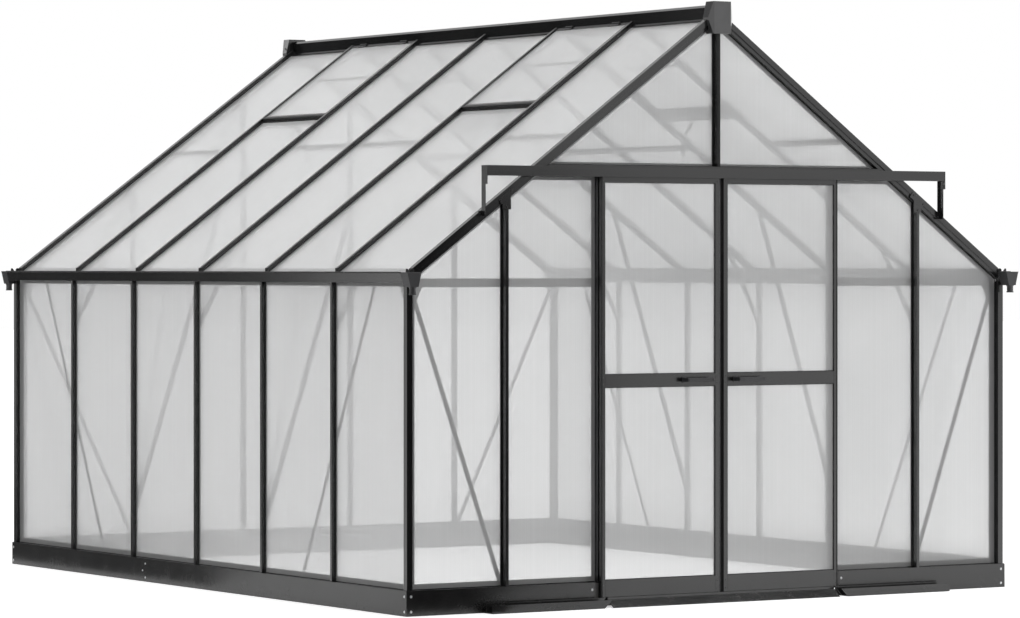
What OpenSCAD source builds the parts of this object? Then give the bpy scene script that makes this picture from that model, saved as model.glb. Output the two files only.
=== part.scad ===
// Walk-in polycarbonate greenhouse with a pitched roof and double sliding doors.
// X runs across the door front, Y runs back along the side walls, Z is up.
// The origin is on the ground at the middle of the overall footprint.

/* [Overall] */
// Width over the outer faces of the corner posts
wall_w = 3082; // [2480:1:3800]
// Number of bays along each side wall
side_bays = 6; // [4:2:8]
// Spacing of the side bars and roof bars
bay = 610; // [500:1:740]
// Height at which the top of the roof bars meets the outer face of the side walls
eave_z = 1399; // [1120:1:1700]
// Pitch of the roof in degrees
pitch = 36; // [30:0.5:42]

/* [Panels and bars] */
// Thickness of the twin-wall sheets
pane_t = 6; // [4:0.5:8]
// Depth from the face of the end posts back to the face of the end sheets
pane_set = 25; // [20:0.5:32]
// Depth from the face of the corner posts back to the face of the side sheets
side_set = 18; // [15:0.5:24]
// Width of the hollow rib on each bar
rib_w = 15; // [13:1:24]
// Height of the ribs on the side and back bars above the sheets
side_rib = 18; // [12:1:24]
// Height of the ribs on the roof bars above the sheets
roof_rib = 18; // [14:1:24]
// Width of the flange that covers the edges of two sheets
flange_w = 24; // [22:1:34]
// Side of the square corner posts
post = 27; // [24:1:32]
// Depth of the gable rakes, square to the roof
rake_d = 40; // [38:1:50]
// Wall thickness of the hollow metal sections
metal = 2.5; // [2:0.5:3]

/* [Base] */
// Height of the base rails
base_h = 105; // [80:1:140]
// Distance that the base rails stand proud of the posts
base_proud = 6; // [3:1:12]
// Depth of the base rails from face to inner edge
base_d = 60; // [50:1:80]

/* [Doors] */
// Width of the pair of doors over their outer edges
doors_w = 1224; // [1000:1:1300]
// Gap between the fronts of the two meeting stiles
meet_gap = 24; // [20:1:32]
// Height of the underside of the door track above the eave height
track_up = 401; // [340:1:430]
// Height of the door track section
track_h = 42; // [42:1:60]
// Thickness of the door leaves
leaf_t = 14; // [14:0.5:20]
// Clearance between the leaves and the face of the base rail
leaf_gap = 5; // [5:1:10]
// Width of the door stiles
stile_w = 20; // [18:1:32]
// Height of the centre of the middle rail of a door
mid_rail_z = 946; // [700:1:1150]
// Distance that each door slides
door_travel = 560; // [400:1:575]

/* [Roof vents] */
// Distance of the lower edge of a vent from the middle of the roof
vent_x = 500; // [380:1:600]
// Distance of the roof purlins from the middle of the roof
purlin_x = 700; // [640:1:900]

/* [Hidden] */
// Clearance round a loose sheet, and the gap left at a butt joint
fit = 0.5;
joint = 0.2;
// Amount by which one solid runs into the next where the two are fused
sink = 1;
// Thickness of flanges and plates
leg = 3;

// Frame outline
half_w = wall_w / 2;
half_l = (side_bays * bay + post) / 2;
slope = tan(pitch);
apex_z = eave_z + half_w * slope;
// Sheet planes on the side walls, then on the end walls
px_out = half_w - side_set;
px_in = px_out - pane_t;
py_out = half_l - pane_set;
py_in = py_out - pane_t;
// Inner faces of the inside flanges
fx = px_in - leg;
fy = py_in - leg;
inner_flange = 24;
web = 4;
corner_leg = 27;

// Depths below the top of the roof bars, square to the slope
d_cap = roof_rib - leg;
d_in = roof_rib + pane_t;
d_leg = d_in + leg;
d_rib = d_leg + 15;
d_lip = rake_d + 15;
inner_rib_w = 15;
// The face of a rake is stepped back below this depth
rake_step = 24;
rake_set = 5;

// Base rails: the side rails are spliced away from the middle
base_x = half_w + base_proud;
base_y = half_l + base_proud;
splice_y = bay * 0.79;
splice_l = 120;
// Foot channels under the sheets
sill_t = 3;
sill_up = 20;
sheet_z = base_h + sill_t;

// Eaves and gutters
beam_z = eave_z - 55;
beam_w = 40;
beam_end = 20;
gutter_z = eave_z - 40;
rim_z = eave_z + 1;
gutter_w = 53;
gutter_floor = 41;
gutter_t = 2;
gutter_lip = 5;
gutter_l = half_l + 8;
eave_l = half_l - post - beam_end;
sheet_top = roof_z(px_out + gutter_t, d_leg) - fit;
// Outlet box on the end of a gutter: reach, bottom, inset of its sides and the spout
outlet_back = 13;
outlet_l = 57;
outlet_z = gutter_z - 17;
outlet_in = 14;
outlet_wall = 3;
outlet_gap = 6;
spout_r = 14;
spout_z = gutter_z - 49;
fin_h = 16;
fin_w = 24;
fin_taper = 2;

// Front wall: middle studs stand halfway between post and jamb
jamb_w = 27;
jamb_d = pane_set + 2;
jamb_fin = 13;
jamb_tail = 12;
jamb_out = doors_w / 2;
open_w = jamb_out - jamb_w;
track_z = eave_z + track_up;
head_clear = 10;
stud_x = max((jamb_out + fx) / 2, roof_x(track_z - head_clear, 0));
web_open = jamb_out + 20;
head_top = track_z + track_h + 8;
head_lip = 12;
head_skirt = 15;
// The ribs of the front bars stand out as far as the base rail
nose = base_proud;
// Back wall: an odd number of bays, one full bay astride the middle
back_studs = [bay / 2, bay * 3 / 2];

// Roof bars, ridge and vents
bar_count = side_bays - 1;
vent_bays = [1, side_bays - 2];
crown_w = 54;
crown_h = 22;
crown_bevel = 11;
lip_w = 10;
foot_x = half_w - post;
sheet_foot = px_out + 7;
cross_w = 30;
cross_d = 15;
purlin_w = 16;
purlin_d = 12;
vent_bar = 16;
vent_d0 = 3;
vent_low = d_cap - joint;
vent_step = 6;
vent_mid = 0.51 * vent_x;
vent_in = 4;
// Stay under a vent: length, height of its elbow, thickness and width of its links
stay_l = 175;
stay_elbow = 80;
stay_t = 6;
stay_w = 16;
stay_lean = 36;

// Ridge caps
cap_top = apex_z + 34;
cap_bottom = apex_z - 104;
cap_neck = 46;
cap_half = 62;
cap_face = 42.5;
cap_front = 34;
cap_bevel = 20;
cap_wall = 3;
cap_over = 5;

// Braces, struts and gussets on the inside
brace_w = 20;
strut_w = 20;
strut_t = 12;
strut_end = 234;
knee_rise = 1.95;
strut_rise = 3.165;
transom_z0 = eave_z - 59;
transom_z1 = eave_z - 23;
transom_lap = 2;
gusset_w = 62;
gusset_h = 50;
gusset_cut = 24;

// Door leaves, measured forwards from the wall face
leaf_back = half_l + base_proud + leaf_gap;
leaf_front = leaf_back + leaf_t;
leaf_mid = (leaf_back + leaf_front) / 2;
leaf_w = (doors_w - meet_gap) / 2;
meet_w = 20;
seal_gap = 5.5;
leaf_bottom = 36;
leaf_top = track_z + 10;
head_rail_z = track_z - 22;
mid_h = 54;
low_rail_top = 113;
skin = 2;
slot_d = 9;
// Handle
handle_l = 138;
handle_h = 17;
handle_off = 45;
handle_in = 31;
handle_foot = 16;
handle_t = 8;
handle_step = 0.5;

// Door track and wheels
track_half = doors_w / 2 + door_travel + 13;
track_front = leaf_front + 19;
ledge_z = track_z + 8;
ledge_w = 10;
wheel_side = 5;
wheel_r = 9;
wheel_w = 8;
wheel_gap = 0.3;
axle_r = 3;
hanger_w = 30;
hanger_t = 4;
hanger_in = 70;
hanger_up = 8;
// Brackets at the ends of the track and at the heads of the front studs
end_drop = 36;
end_deep = 30;
end_flange = 12;
tab_w = 33;
tab_h = 21;
head_half = 20.5;
head_drop = 36;
head_wing = 42;
head_d0 = 11;
head_d1 = 37;

// Floor guides and threshold
guide_d = 75;
guide_h = 35;
fin_t = 3;
fin_top = leaf_bottom + 6;
ramp_l = 40;
ramp_h = 31;
guide_x = open_w + 8;
guide_end = track_half - 5;
guide_cut = 36;

// Overall reach in Y, which sets the origin
reach_front = half_l + base_proud + guide_d;
reach_back = gutter_l + outlet_l;
shift_y = (reach_front - reach_back) / 2;

metal_colour = [0.22, 0.22, 0.23];
dark_colour = [0.10, 0.10, 0.11];
sheet_colour = [0.82, 0.83, 0.84, 0.6];

// Height of the roof surface at distance x from the middle, at a square depth below the bars
function roof_z(x, depth) = apex_z - x * slope - depth / cos(pitch);
// Distance from the middle where that surface is at height z
function roof_x(z, depth) = (apex_z - depth / cos(pitch) - z) / slope;
// Point in X and Z at distance s down the right slope and a square depth below it
function on_slope(s, depth) = [s * cos(pitch) - depth * sin(pitch), roof_z(s * cos(pitch), 0)
    - depth * cos(pitch)];
// Y of side bar number k, counted from the front
function bar_y(k) = (k - side_bays / 2) * bay;
// True where bay k carries a roof vent
function has_vent(k) = len(search(k, vent_bays)) > 0;
// Where a sheet in bay k starts and ends, clear of the webs and of the rakes or posts
function sheet_y0(k) = k == 0 ? -half_l + post + fit : bar_y(k) + web / 2 + fit;
function sheet_y1(k) = k == side_bays - 1 ? half_l - post - fit : bar_y(k + 1) - web / 2 - fit;

// Moves a piece from the plan centre to the origin of the part
module at_origin() {
    translate([0, shift_y, 0]) children();
}

// Repeats a right-hand piece on the left
module both_sides() {
    children();
    mirror([1, 0, 0]) children();
}

// Repeats a front piece at the back
module both_ends() {
    children();
    mirror([0, 1, 0]) children();
}

// Turns a right-hand piece into the left-hand one
module left_side() {
    mirror([1, 0, 0]) children();
}

// Turns a front piece into the back one
module back_end() {
    mirror([0, 1, 0]) children();
}

// Box given by its two corners
module block(low, high) {
    translate(low) cube(high - low);
}

// Outline in X and Z, made solid from y0 to y1
module slab_y(points, y0, y1) {
    translate([0, y1, 0]) rotate([90, 0, 0]) linear_extrude(y1 - y0) polygon(points);
}

// Outline in Y and Z, made solid from x0 to x1
module slab_x(points, x0, x1) {
    translate([x0, 0, 0]) rotate([90, 0, 90]) linear_extrude(x1 - x0) polygon(points);
}

// Runs a section down the right slope and cuts it by upright planes at x0 and x1.
// In the section, x lies along the ridge and -y is the depth below the top of the roof bars.
module along_slope(x0, x1) {
    margin = 200;
    start = x0 / cos(pitch) - margin;
    length = (x1 - x0) / cos(pitch) + 2 * margin;
    intersection() {
        translate([0, 0, apex_z]) rotate([0, pitch, 0]) translate([start, 0, 0])
            rotate([90, 0, 90]) linear_extrude(length) children();
        block([x0, -half_l - margin, 0], [x1, half_l + margin, apex_z + margin]);
    }
}

// Layer that lies parallel to the roof between two depths
module roof_layer(x0, x1, d0, d1, y0, y1) {
    along_slope(x0, x1) translate([y0, -d1]) square([y1 - y0, d1 - d0]);
}

// Upright with its top cut just under the slope of the roof at a depth
module raked_post(x0, x1, z0, depth, y0, y1) {
    d = depth + joint;
    slab_y([[x0, z0], [x1, z0], [x1, roof_z(x1, d)], [x0, roof_z(x0, d)]], y0, y1);
}

// ---------- base ----------

// C-shaped base rail, face at y = -face, open towards the inside
module base_rail(half, face) {
    block([-half, -face, 0], [half, -face + leg, base_h]);
    block([-half, -face, 0], [half, -face + base_d, leg]);
    block([-half, -face, base_h - leg], [half, -face + base_d, base_h]);
}

// The same rail with both ends mitred
module mitred(half, face) {
    intersection() {
        base_rail(half, face);
        linear_extrude(base_h) polygon([[-half, -face], [half, -face],
            [half - base_d, -face + base_d], [-half + base_d, -face + base_d]]);
    }
}

// Side rail in two lengths, with a plate inside the web across their joint
module spliced(half, face, at) {
    difference() {
        mitred(half, face);
        block([at - fit / 2, -face - 1, -1], [at + fit / 2, -face + base_d + 1, base_h + 1]);
    }
    block([at - splice_l / 2, -face + leg + joint, leg + joint],
          [at + splice_l / 2, -face + 2 * leg, base_h - leg - joint]);
}

// Front rail: the web stops short of the jambs, the two flanges run on to them
module base_front() {
    flange_open = jamb_out + joint;
    color(metal_colour) at_origin() difference() {
        mitred(base_x, base_y);
        block([-web_open, -base_y - 1, leg], [web_open, -base_y + base_d + 1, base_h - leg]);
        block([-flange_open, -base_y - 1, -1], [flange_open, -base_y + base_d + 1, base_h + 1]);
    }
}

module base_back() {
    color(metal_colour) at_origin() back_end() mitred(base_x, base_y);
}

module base_left() {
    color(metal_colour) at_origin() rotate([0, 0, -90]) spliced(base_y, base_x, -splice_y);
}

module base_right() {
    color(metal_colour) at_origin() rotate([0, 0, 90]) spliced(base_y, base_x, splice_y);
}

// Foot channel under one sheet: a plate with an upstand behind the sheet
module foot_channel(x0, x1, out) {
    block([x0, -out, base_h], [x1, -out + pane_t + leg, base_h + sill_t]);
    block([x0, -out + pane_t, base_h], [x1, -out + pane_t + leg, base_h + sill_t + sill_up]);
}

module sills() {
    side_clear = inner_flange / 2 + fit;
    end_y = fy - corner_leg - fit;
    end_x = fx - corner_leg - fit;
    color(metal_colour) at_origin() {
        both_sides() rotate([0, 0, 90]) for (k = [0 : side_bays - 1])
            foot_channel(k == 0 ? -end_y : bar_y(k) + side_clear,
                         k == side_bays - 1 ? end_y : bar_y(k + 1) - side_clear, px_out);
        both_sides() {
            foot_channel(jamb_out + jamb_fin + fit, stud_x - side_clear, py_out);
            foot_channel(stud_x + side_clear, end_x, py_out);
        }
        back_end() {
            foot_channel(-back_studs[0] + side_clear, back_studs[0] - side_clear, py_out);
            both_sides() {
                foot_channel(back_studs[0] + side_clear, back_studs[1] - side_clear, py_out);
                foot_channel(back_studs[1] + side_clear, end_x, py_out);
            }
        }
    }
}

// ---------- uprights ----------

// Square tube with the inner legs that hold the two sheets, at the front right
module corner_post() {
    difference() {
        block([foot_x, -half_l, base_h], [half_w, -half_l + post, gutter_z]);
        block([foot_x + metal, -half_l + metal, base_h - 1],
              [half_w - metal, -half_l + post - metal, gutter_z + 1]);
    }
    block([fx, -py_out - leg, base_h], [foot_x + sink, -half_l + post, beam_z]);
    block([fx, -py_out - leg, base_h], [px_in, -fy, beam_z]);
    block([fx, -py_in, base_h], [px_in, -fy + corner_leg, beam_z]);
    raked_post(fx - corner_leg, fx + sink, base_h, d_lip, -py_in, -fy);
}

module corner_posts() {
    color(metal_colour) at_origin() both_ends() both_sides() corner_post();
}

// Section of a glazing bar: hollow rib outside, flange, web and inner flange.
// The sheets' outer face is at y = 0 and the outside is towards -y.
module bar_rib(rib) {
    difference() {
        translate([-rib_w / 2, -rib]) square([rib_w, rib - leg]);
        translate([-rib_w / 2 + metal, -rib + metal]) square([rib_w - 2 * metal, rib - leg - 2 * metal]);
    }
    translate([-flange_w / 2, -leg]) square([flange_w, leg]);
    translate([-web / 2, -leg]) square([web, leg + pane_t]);
}

module bar_inner() {
    translate([-web / 2, 0]) square([web, pane_t]);
    translate([-inner_flange / 2, pane_t]) square([inner_flange, leg]);
}

// Side bar on the right wall at one spacing
module side_stud(y) {
    translate([px_out, y, 0]) rotate([0, 0, 90]) {
        translate([0, 0, base_h]) linear_extrude(gutter_z - base_h) bar_rib(side_rib);
        translate([0, 0, base_h]) linear_extrude(beam_z - base_h) bar_inner();
    }
}

module side_studs() {
    for (k = [1 : bar_count]) side_stud(bar_y(k));
}

module studs_right() {
    color(dark_colour) at_origin() side_studs();
}

module studs_left() {
    color(dark_colour) at_origin() left_side() side_studs();
}

// Bar on an end wall, cut to the slope of the rake; the front wall is at -y
module end_stud(x, rib) {
    difference() {
        raked_post(x - rib_w / 2, x + rib_w / 2, base_h, rake_d, -py_out - rib, -py_out - leg);
        translate([x, -py_out, base_h - 1]) linear_extrude(apex_z)
            translate([-rib_w / 2 + metal, -rib + metal])
            square([rib_w - 2 * metal, rib - leg - 2 * metal]);
    }
    raked_post(x - flange_w / 2, x + flange_w / 2, base_h, rake_d, -py_out - leg, -py_out);
    raked_post(x - web / 2, x + web / 2, base_h, rake_d, -py_out, -py_in);
    raked_post(x - inner_flange / 2, x + inner_flange / 2, base_h, d_lip, -py_in, -fy);
}

// Plate on the faces of a front stud and the rake above it: a stem with a wing to each side
module head_bracket() {
    middle = (stud_x + (head_d0 + head_d1) / 2 * sin(pitch)) / cos(pitch);
    xa = stud_x - head_half;
    xb = stud_x + head_half;
    z0 = roof_z(stud_x, rake_d) - head_drop;
    slab_y([[xa, z0], [xb, z0], [xb, roof_z(xb, head_d1)], on_slope(middle + head_wing, head_d1),
            on_slope(middle + head_wing, head_d0), on_slope(middle - head_wing, head_d0),
            on_slope(middle - head_wing, head_d1), [xa, roof_z(xa, head_d1)]],
           -half_l - leg - joint, -half_l - joint);
}

// Front chamber of a rib, from z0 to z1, fused to the rib behind it
module rib_nose(x, z0, z1) {
    difference() {
        block([x - rib_w / 2, -half_l - nose, z0], [x + rib_w / 2, -half_l + sink, z1]);
        block([x - rib_w / 2 + metal, -half_l - nose + metal, z0 - 1],
              [x + rib_w / 2 - metal, -half_l, z1 + 1]);
    }
}

module studs_front() {
    color(dark_colour) at_origin() both_sides() {
        end_stud(stud_x, pane_set);
        rib_nose(stud_x, base_h, roof_z(stud_x, rake_d) - head_drop - joint);
        head_bracket();
    }
}

module studs_back() {
    color(dark_colour) at_origin() back_end() both_sides() for (x = back_studs) end_stud(x, side_rib);
}

// Hollow door jamb down to the ground, with a fin behind the sheet beside it
module door_jamb() {
    difference() {
        block([open_w, -half_l, 0], [jamb_out, -half_l + jamb_d, track_z]);
        block([open_w + metal, -half_l + metal, -1],
              [jamb_out - metal, -half_l + jamb_d - metal, track_z + 1]);
    }
    z1 = track_z - head_skirt - joint;
    block([jamb_out - jamb_tail, -half_l + jamb_d - metal, base_h], [jamb_out, -fy, z1]);
    block([jamb_out - jamb_tail, -py_in, base_h], [jamb_out + jamb_fin, -fy, z1]);
}

module door_jambs() {
    color(metal_colour) at_origin() both_sides() door_jamb();
}

// Bar across the gable between two heights, its ends cut to the rake and to the front studs
module gable_strip(z0, z1, depth, clear, y0, y1) {
    d = depth + joint;
    x1 = stud_x - clear - joint;
    intersection() {
        slab_y([[-roof_x(z0, d), z0], [roof_x(z0, d), z0], [roof_x(z1, d), z1], [-roof_x(z1, d), z1]],
               y0, y1);
        block([-x1, y0, z0], [x1, y1, z1]);
    }
}

module door_header() {
    color(metal_colour) at_origin() {
        difference() {
            gable_strip(track_z, head_top, rake_d, flange_w / 2, -half_l, -half_l + jamb_d);
            block([-half_w, -half_l + metal, track_z + metal],
                  [half_w, -half_l + jamb_d - metal, head_top - metal]);
        }
        gable_strip(track_z, head_top, d_lip + 1, flange_w / 2 + 1, -half_l + jamb_d - metal, -py_in);
        gable_strip(track_z - head_skirt, head_top + head_lip, d_lip, flange_w / 2, -py_in, -fy);
    }
}

// Bar above the doors, up the middle of the gable
module king_post() {
    top_out = roof_z(crown_w / 2, rake_d) - joint;
    top_in = roof_z(crown_w / 2, d_lip) - joint;
    z0 = head_top + joint;
    color(dark_colour) at_origin() {
        difference() {
            block([-rib_w / 2, -half_l, z0], [rib_w / 2, -py_out - leg, top_out]);
            block([-rib_w / 2 + metal, -half_l + metal, z0 - 1],
                  [rib_w / 2 - metal, -py_out - leg - metal, top_out + 1]);
        }
        block([-flange_w / 2, -py_out - leg, z0], [flange_w / 2, -py_out, top_out]);
        block([-web / 2, -py_out, z0], [web / 2, -py_in, top_out]);
        block([-inner_flange / 2, -py_in, z0 + head_lip], [inner_flange / 2, -fy, top_in]);
        rib_nose(0, z0, cap_bottom - joint);
    }
}

// ---------- eaves ----------

// Closed eave beam on the right, with the flange that carries the foot of the roof sheets
module eave() {
    x0 = px_in - beam_w;
    x1 = px_out + gutter_t;
    top = d_in + joint;
    difference() {
        slab_y([[x0, beam_z], [px_in, beam_z], [px_in, roof_z(px_in, d_leg)], [x1, roof_z(x1, d_leg)],
                [x1, roof_z(x1, top)], [x0, roof_z(x0, top)]], -eave_l, eave_l);
        slab_y([[x0 + leg, beam_z + leg], [fx, beam_z + leg], [fx, roof_z(fx, d_leg)],
                [x0 + leg, roof_z(x0 + leg, d_leg)]], -eave_l - 1, eave_l + 1);
    }
}

module eave_right() {
    color(metal_colour) at_origin() eave();
}

module eave_left() {
    color(metal_colour) at_origin() left_side() eave();
}

// Open gutter on the right, made up of a back strip, a floor and a leaning front with a lip
module gutter() {
    back = px_out + gutter_t;
    foot = px_out + gutter_floor;
    rim = px_out + gutter_w;
    slab_y([[px_out, gutter_z], [back, gutter_z], [back, roof_z(back, d_leg) - joint],
            [px_out, roof_z(px_out, d_leg) - joint]], -eave_l, eave_l);
    block([back + joint, -gutter_l, gutter_z], [foot - joint, gutter_l, gutter_z + gutter_t]);
    slab_y([[foot, gutter_z], [foot + gutter_t, gutter_z], [rim, rim_z - gutter_t],
            [rim + gutter_lip, rim_z - gutter_t], [rim + gutter_lip, rim_z], [rim - gutter_t, rim_z]],
           -gutter_l, gutter_l);
}

module gutter_right() {
    color(metal_colour) at_origin() gutter();
}

module gutter_left() {
    color(metal_colour) at_origin() left_side() gutter();
}

// Outline of the outlet box at a distance inside its outer faces
function outlet_outline(inset, top) = [
    [px_out - outlet_back + inset, top], [px_out - outlet_back + outlet_in + inset, outlet_z + inset],
    [px_out + gutter_w - outlet_in - inset, outlet_z + inset], [px_out + gutter_w - inset, top]];

// Upright fin on the outlet box beside the rake, narrower at the top
module outlet_fin(x, y0, y1) {
    foot = rim_z - outlet_wall;
    slab_y([[x, foot], [x + fin_w, foot], [x + fin_w - fin_taper, rim_z + fin_h],
            [x + fin_w * 0.6, rim_z + fin_h]], y0, y1);
}

// Outlet box on the front end of the right gutter, with its spout and fin
module gutter_outlet() {
    y0 = -gutter_l - outlet_l;
    y1 = -gutter_l - joint;
    mid = px_out + (gutter_w - outlet_back) / 2;
    spout_y = y0 + outlet_wall + spout_r;
    window_x = px_out + outlet_gap;
    difference() {
        union() {
            slab_y(outlet_outline(0, rim_z), y0, y1);
            translate([mid, spout_y, spout_z]) cylinder(h = outlet_z + 1 - spout_z, r = spout_r, $fn = 48);
            outlet_fin(window_x, y1 - outlet_wall, y1);
        }
        slab_y(outlet_outline(outlet_wall, rim_z + 1), y0 + outlet_wall, y1 - outlet_wall);
        slab_y([[window_x, gutter_z + gutter_t], [px_out + gutter_floor - gutter_t, gutter_z + gutter_t],
                [px_out + gutter_w - 2 * outlet_gap, rim_z - 2 * outlet_gap],
                [window_x, rim_z - 2 * outlet_gap]],
               y1 - outlet_wall - 1, y1 + 1);
        translate([mid, spout_y, spout_z - 1])
            cylinder(h = outlet_z + 2 * outlet_wall - spout_z, r = spout_r - metal, $fn = 48);
    }
}

module gutter_ends() {
    color(dark_colour) at_origin() both_ends() both_sides() gutter_outlet();
}

// ---------- roof ----------

// Section of a roof bar down to the foot of its web, with its top at y = 0
module roof_bar_section() {
    translate([0, -roof_rib]) mirror([0, 1]) bar_rib(roof_rib);
}

// Inner flange of a roof bar with the rib below it
module roof_bar_foot() {
    translate([-inner_flange / 2, -d_leg]) square([inner_flange, leg]);
    translate([-inner_rib_w / 2, -d_rib]) square([inner_rib_w, d_rib - d_in]);
}

// One roof bar on the right slope, its stem alone running up beside the crown
module roof_bar(y) {
    x0 = crown_w / 2;
    x1 = x0 + lip_w;
    translate([0, y, 0]) {
        difference() {
            along_slope(x0, foot_x) roof_bar_section();
            along_slope(x0 - 1, x1) translate([-flange_w, -d_leg]) square([2 * flange_w, d_leg - d_cap]);
        }
        along_slope(x1, px_in - beam_w) roof_bar_foot();
    }
}

module roof_bars() {
    for (k = [1 : bar_count]) roof_bar(bar_y(k));
}

module roof_bars_right() {
    color(metal_colour) at_origin() roof_bars();
}

module roof_bars_left() {
    color(metal_colour) at_origin() left_side() roof_bars();
}

// Gable rake at the front right: two chambers with a stepped face, a ledge under the roof sheet
// and a lip behind the wall sheet
module rake() {
    x0 = crown_w / 2;
    y1 = -half_l + post;
    difference() {
        roof_layer(x0, foot_x, 0, rake_d, -half_l, y1);
        roof_layer(x0 - 1, foot_x + 1, rake_step, rake_d + 1, -half_l - 1, -half_l + rake_set);
        roof_layer(x0 - 1, foot_x + 1, metal, rake_step - metal, -half_l + metal, y1 - metal);
        roof_layer(x0 - 1, foot_x + 1, rake_step, rake_d - metal, -half_l + rake_set + metal, y1 - metal);
    }
    roof_layer(x0, fx, d_in, d_leg, y1 - sink, y1 + beam_end);
    roof_layer(x0, fx, d_leg - sink, d_lip, -py_in, -fy);
}

module rakes_front() {
    color(metal_colour) at_origin() both_sides() rake();
}

module rakes_back() {
    color(metal_colour) at_origin() back_end() both_sides() rake();
}

// Outline of the ridge beam from side to side, drawn in by an inset
function crown_outline(inset) = [
    [crown_w / 2 - inset, roof_z(crown_w / 2, rake_d - inset)],
    [crown_w / 2 - inset, apex_z + crown_h - crown_bevel - inset / 2],
    [crown_w / 4 - inset / 2, apex_z + crown_h - inset],
    [-crown_w / 4 + inset / 2, apex_z + crown_h - inset],
    [-crown_w / 2 + inset, apex_z + crown_h - crown_bevel - inset / 2],
    [-crown_w / 2 + inset, roof_z(crown_w / 2, rake_d - inset)],
    [0, roof_z(0, rake_d - inset)]];

module ridge_beam() {
    y_lip = half_l - post - fit;
    side = crown_w / 2;
    color(dark_colour) at_origin() {
        difference() {
            slab_y(crown_outline(0), -half_l, half_l);
            slab_y(crown_outline(leg), -half_l - 1, half_l + 1);
        }
        both_sides() {
            roof_layer(side - sink, side + lip_w, d_cap, roof_rib, -y_lip, y_lip);
            roof_layer(side - sink, side + lip_w, d_in, d_leg, -y_lip + beam_end, y_lip - beam_end);
        }
    }
}

// Six-sided cap on the front end of the ridge, with a hood that reaches back over the rakes
module ridge_cap() {
    mid = (cap_top + cap_bottom) / 2;
    y0 = -half_l - cap_front;
    y1 = y0 + cap_bevel;
    y2 = -py_out - fit;
    inner = cap_neck - cap_wall;
    difference() {
        intersection() {
            slab_y([[cap_neck, cap_bottom], [cap_half, mid], [cap_neck, cap_top],
                    [-cap_neck, cap_top], [-cap_half, mid], [-cap_neck, cap_bottom]], y0, y2);
            translate([0, 0, cap_bottom - 1]) linear_extrude(cap_top - cap_bottom + 2)
                polygon([[-cap_face, y0], [cap_face, y0], [cap_half, y1], [cap_half, y2],
                         [-cap_half, y2], [-cap_half, y1]]);
        }
        slab_y([[inner, cap_bottom - 1], [cap_half - cap_wall, mid], [inner, cap_top - cap_wall],
                [-inner, cap_top - cap_wall], [-cap_half + cap_wall, mid], [-inner, cap_bottom - 1]],
               -half_l - joint, y2 + 1);
        both_sides() roof_layer(inner - cap_over, cap_half + cap_over, -fit, rake_d + fit,
                                -half_l - joint, y2 + 1);
    }
}

module ridge_caps() {
    color(metal_colour) at_origin() both_ends() ridge_cap();
}

// ---------- sheets ----------

// Wall sheets of the right side
module side_sheets() {
    for (k = [0 : side_bays - 1])
        block([px_in, sheet_y0(k), sheet_z], [px_out, sheet_y1(k), sheet_top]);
}

module wall_panels_right() {
    color(sheet_colour) at_origin() side_sheets();
}

module wall_panels_left() {
    color(sheet_colour) at_origin() left_side() side_sheets();
}

// Sheet of an end wall between two distances from the middle, its top cut to the rake
module gable_sheet(x0, x1, z0) {
    raked_post(x0, x1, z0, rake_d + fit, -py_out, -py_in);
}

// Front sheets: a tall one beside each post and one below the header beside each jamb
module wall_panels_front() {
    gap = web / 2 + fit;
    color(sheet_colour) at_origin() both_sides() {
        gable_sheet(stud_x + gap, fx - fit, sheet_z);
        intersection() {
            gable_sheet(jamb_out + fit, stud_x - gap, sheet_z);
            block([0, -py_out, 0], [half_w, -py_in, track_z - fit]);
        }
    }
}

// Gable sheets above the header, between the king post and the front studs
module gable_panels() {
    gap = web / 2 + fit;
    z0 = head_top + fit;
    d = rake_d + fit;
    top = roof_z(crown_w / 2, d);
    color(sheet_colour) at_origin() both_sides() intersection() {
        slab_y([[gap, z0], [roof_x(z0, d), z0], [crown_w / 2, top], [gap, top]], -py_out, -py_in);
        block([0, -py_out, 0], [stud_x - gap, -py_in, apex_z]);
    }
}

module wall_panels_back() {
    gap = web / 2 + fit;
    xc = crown_w / 2;
    xs = back_studs[0] - gap;
    d = rake_d + fit;
    color(sheet_colour) at_origin() back_end() {
        slab_y([[-xs, sheet_z], [xs, sheet_z], [xs, roof_z(xs, d)], [xc, roof_z(xc, d)],
                [-xc, roof_z(xc, d)], [-xs, roof_z(xs, d)]], -py_out, -py_in);
        both_sides() {
            gable_sheet(back_studs[0] + gap, back_studs[1] - gap, sheet_z);
            gable_sheet(back_studs[1] + gap, fx - fit, sheet_z);
        }
    }
}

// Roof sheets of the right slope, shorter below a vent
module roof_sheets() {
    for (k = [0 : side_bays - 1])
        roof_layer(has_vent(k) ? vent_x + cross_w + fit : crown_w / 2 + fit, sheet_foot,
                   roof_rib, d_in, sheet_y0(k), sheet_y1(k));
}

module roof_panels_right() {
    color(sheet_colour) at_origin() roof_sheets();
}

module roof_panels_left() {
    color(sheet_colour) at_origin() left_side() roof_sheets();
}

// ---------- inside bars ----------

// Purlins between the roof bars, and the cross bar under the foot of each vent
module purlins() {
    color(metal_colour) at_origin() both_sides() for (k = [0 : side_bays - 1]) {
        y0 = k == 0 ? -fy + joint : bar_y(k) + inner_rib_w / 2 + joint;
        y1 = k == side_bays - 1 ? fy - joint : bar_y(k + 1) - inner_rib_w / 2 - joint;
        if (has_vent(k)) {
            roof_layer(vent_x, vent_x + cross_w, d_leg, d_leg + cross_d, y0, y1);
            roof_layer(vent_x, vent_x + cross_w, d_cap, d_leg + sink,
                       bar_y(k) + flange_w / 2 + fit, bar_y(k + 1) - flange_w / 2 - fit);
        } else {
            roof_layer(purlin_x - purlin_w / 2, purlin_x + purlin_w / 2, d_leg, d_leg + purlin_d, y0, y1);
        }
    }
}

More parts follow.
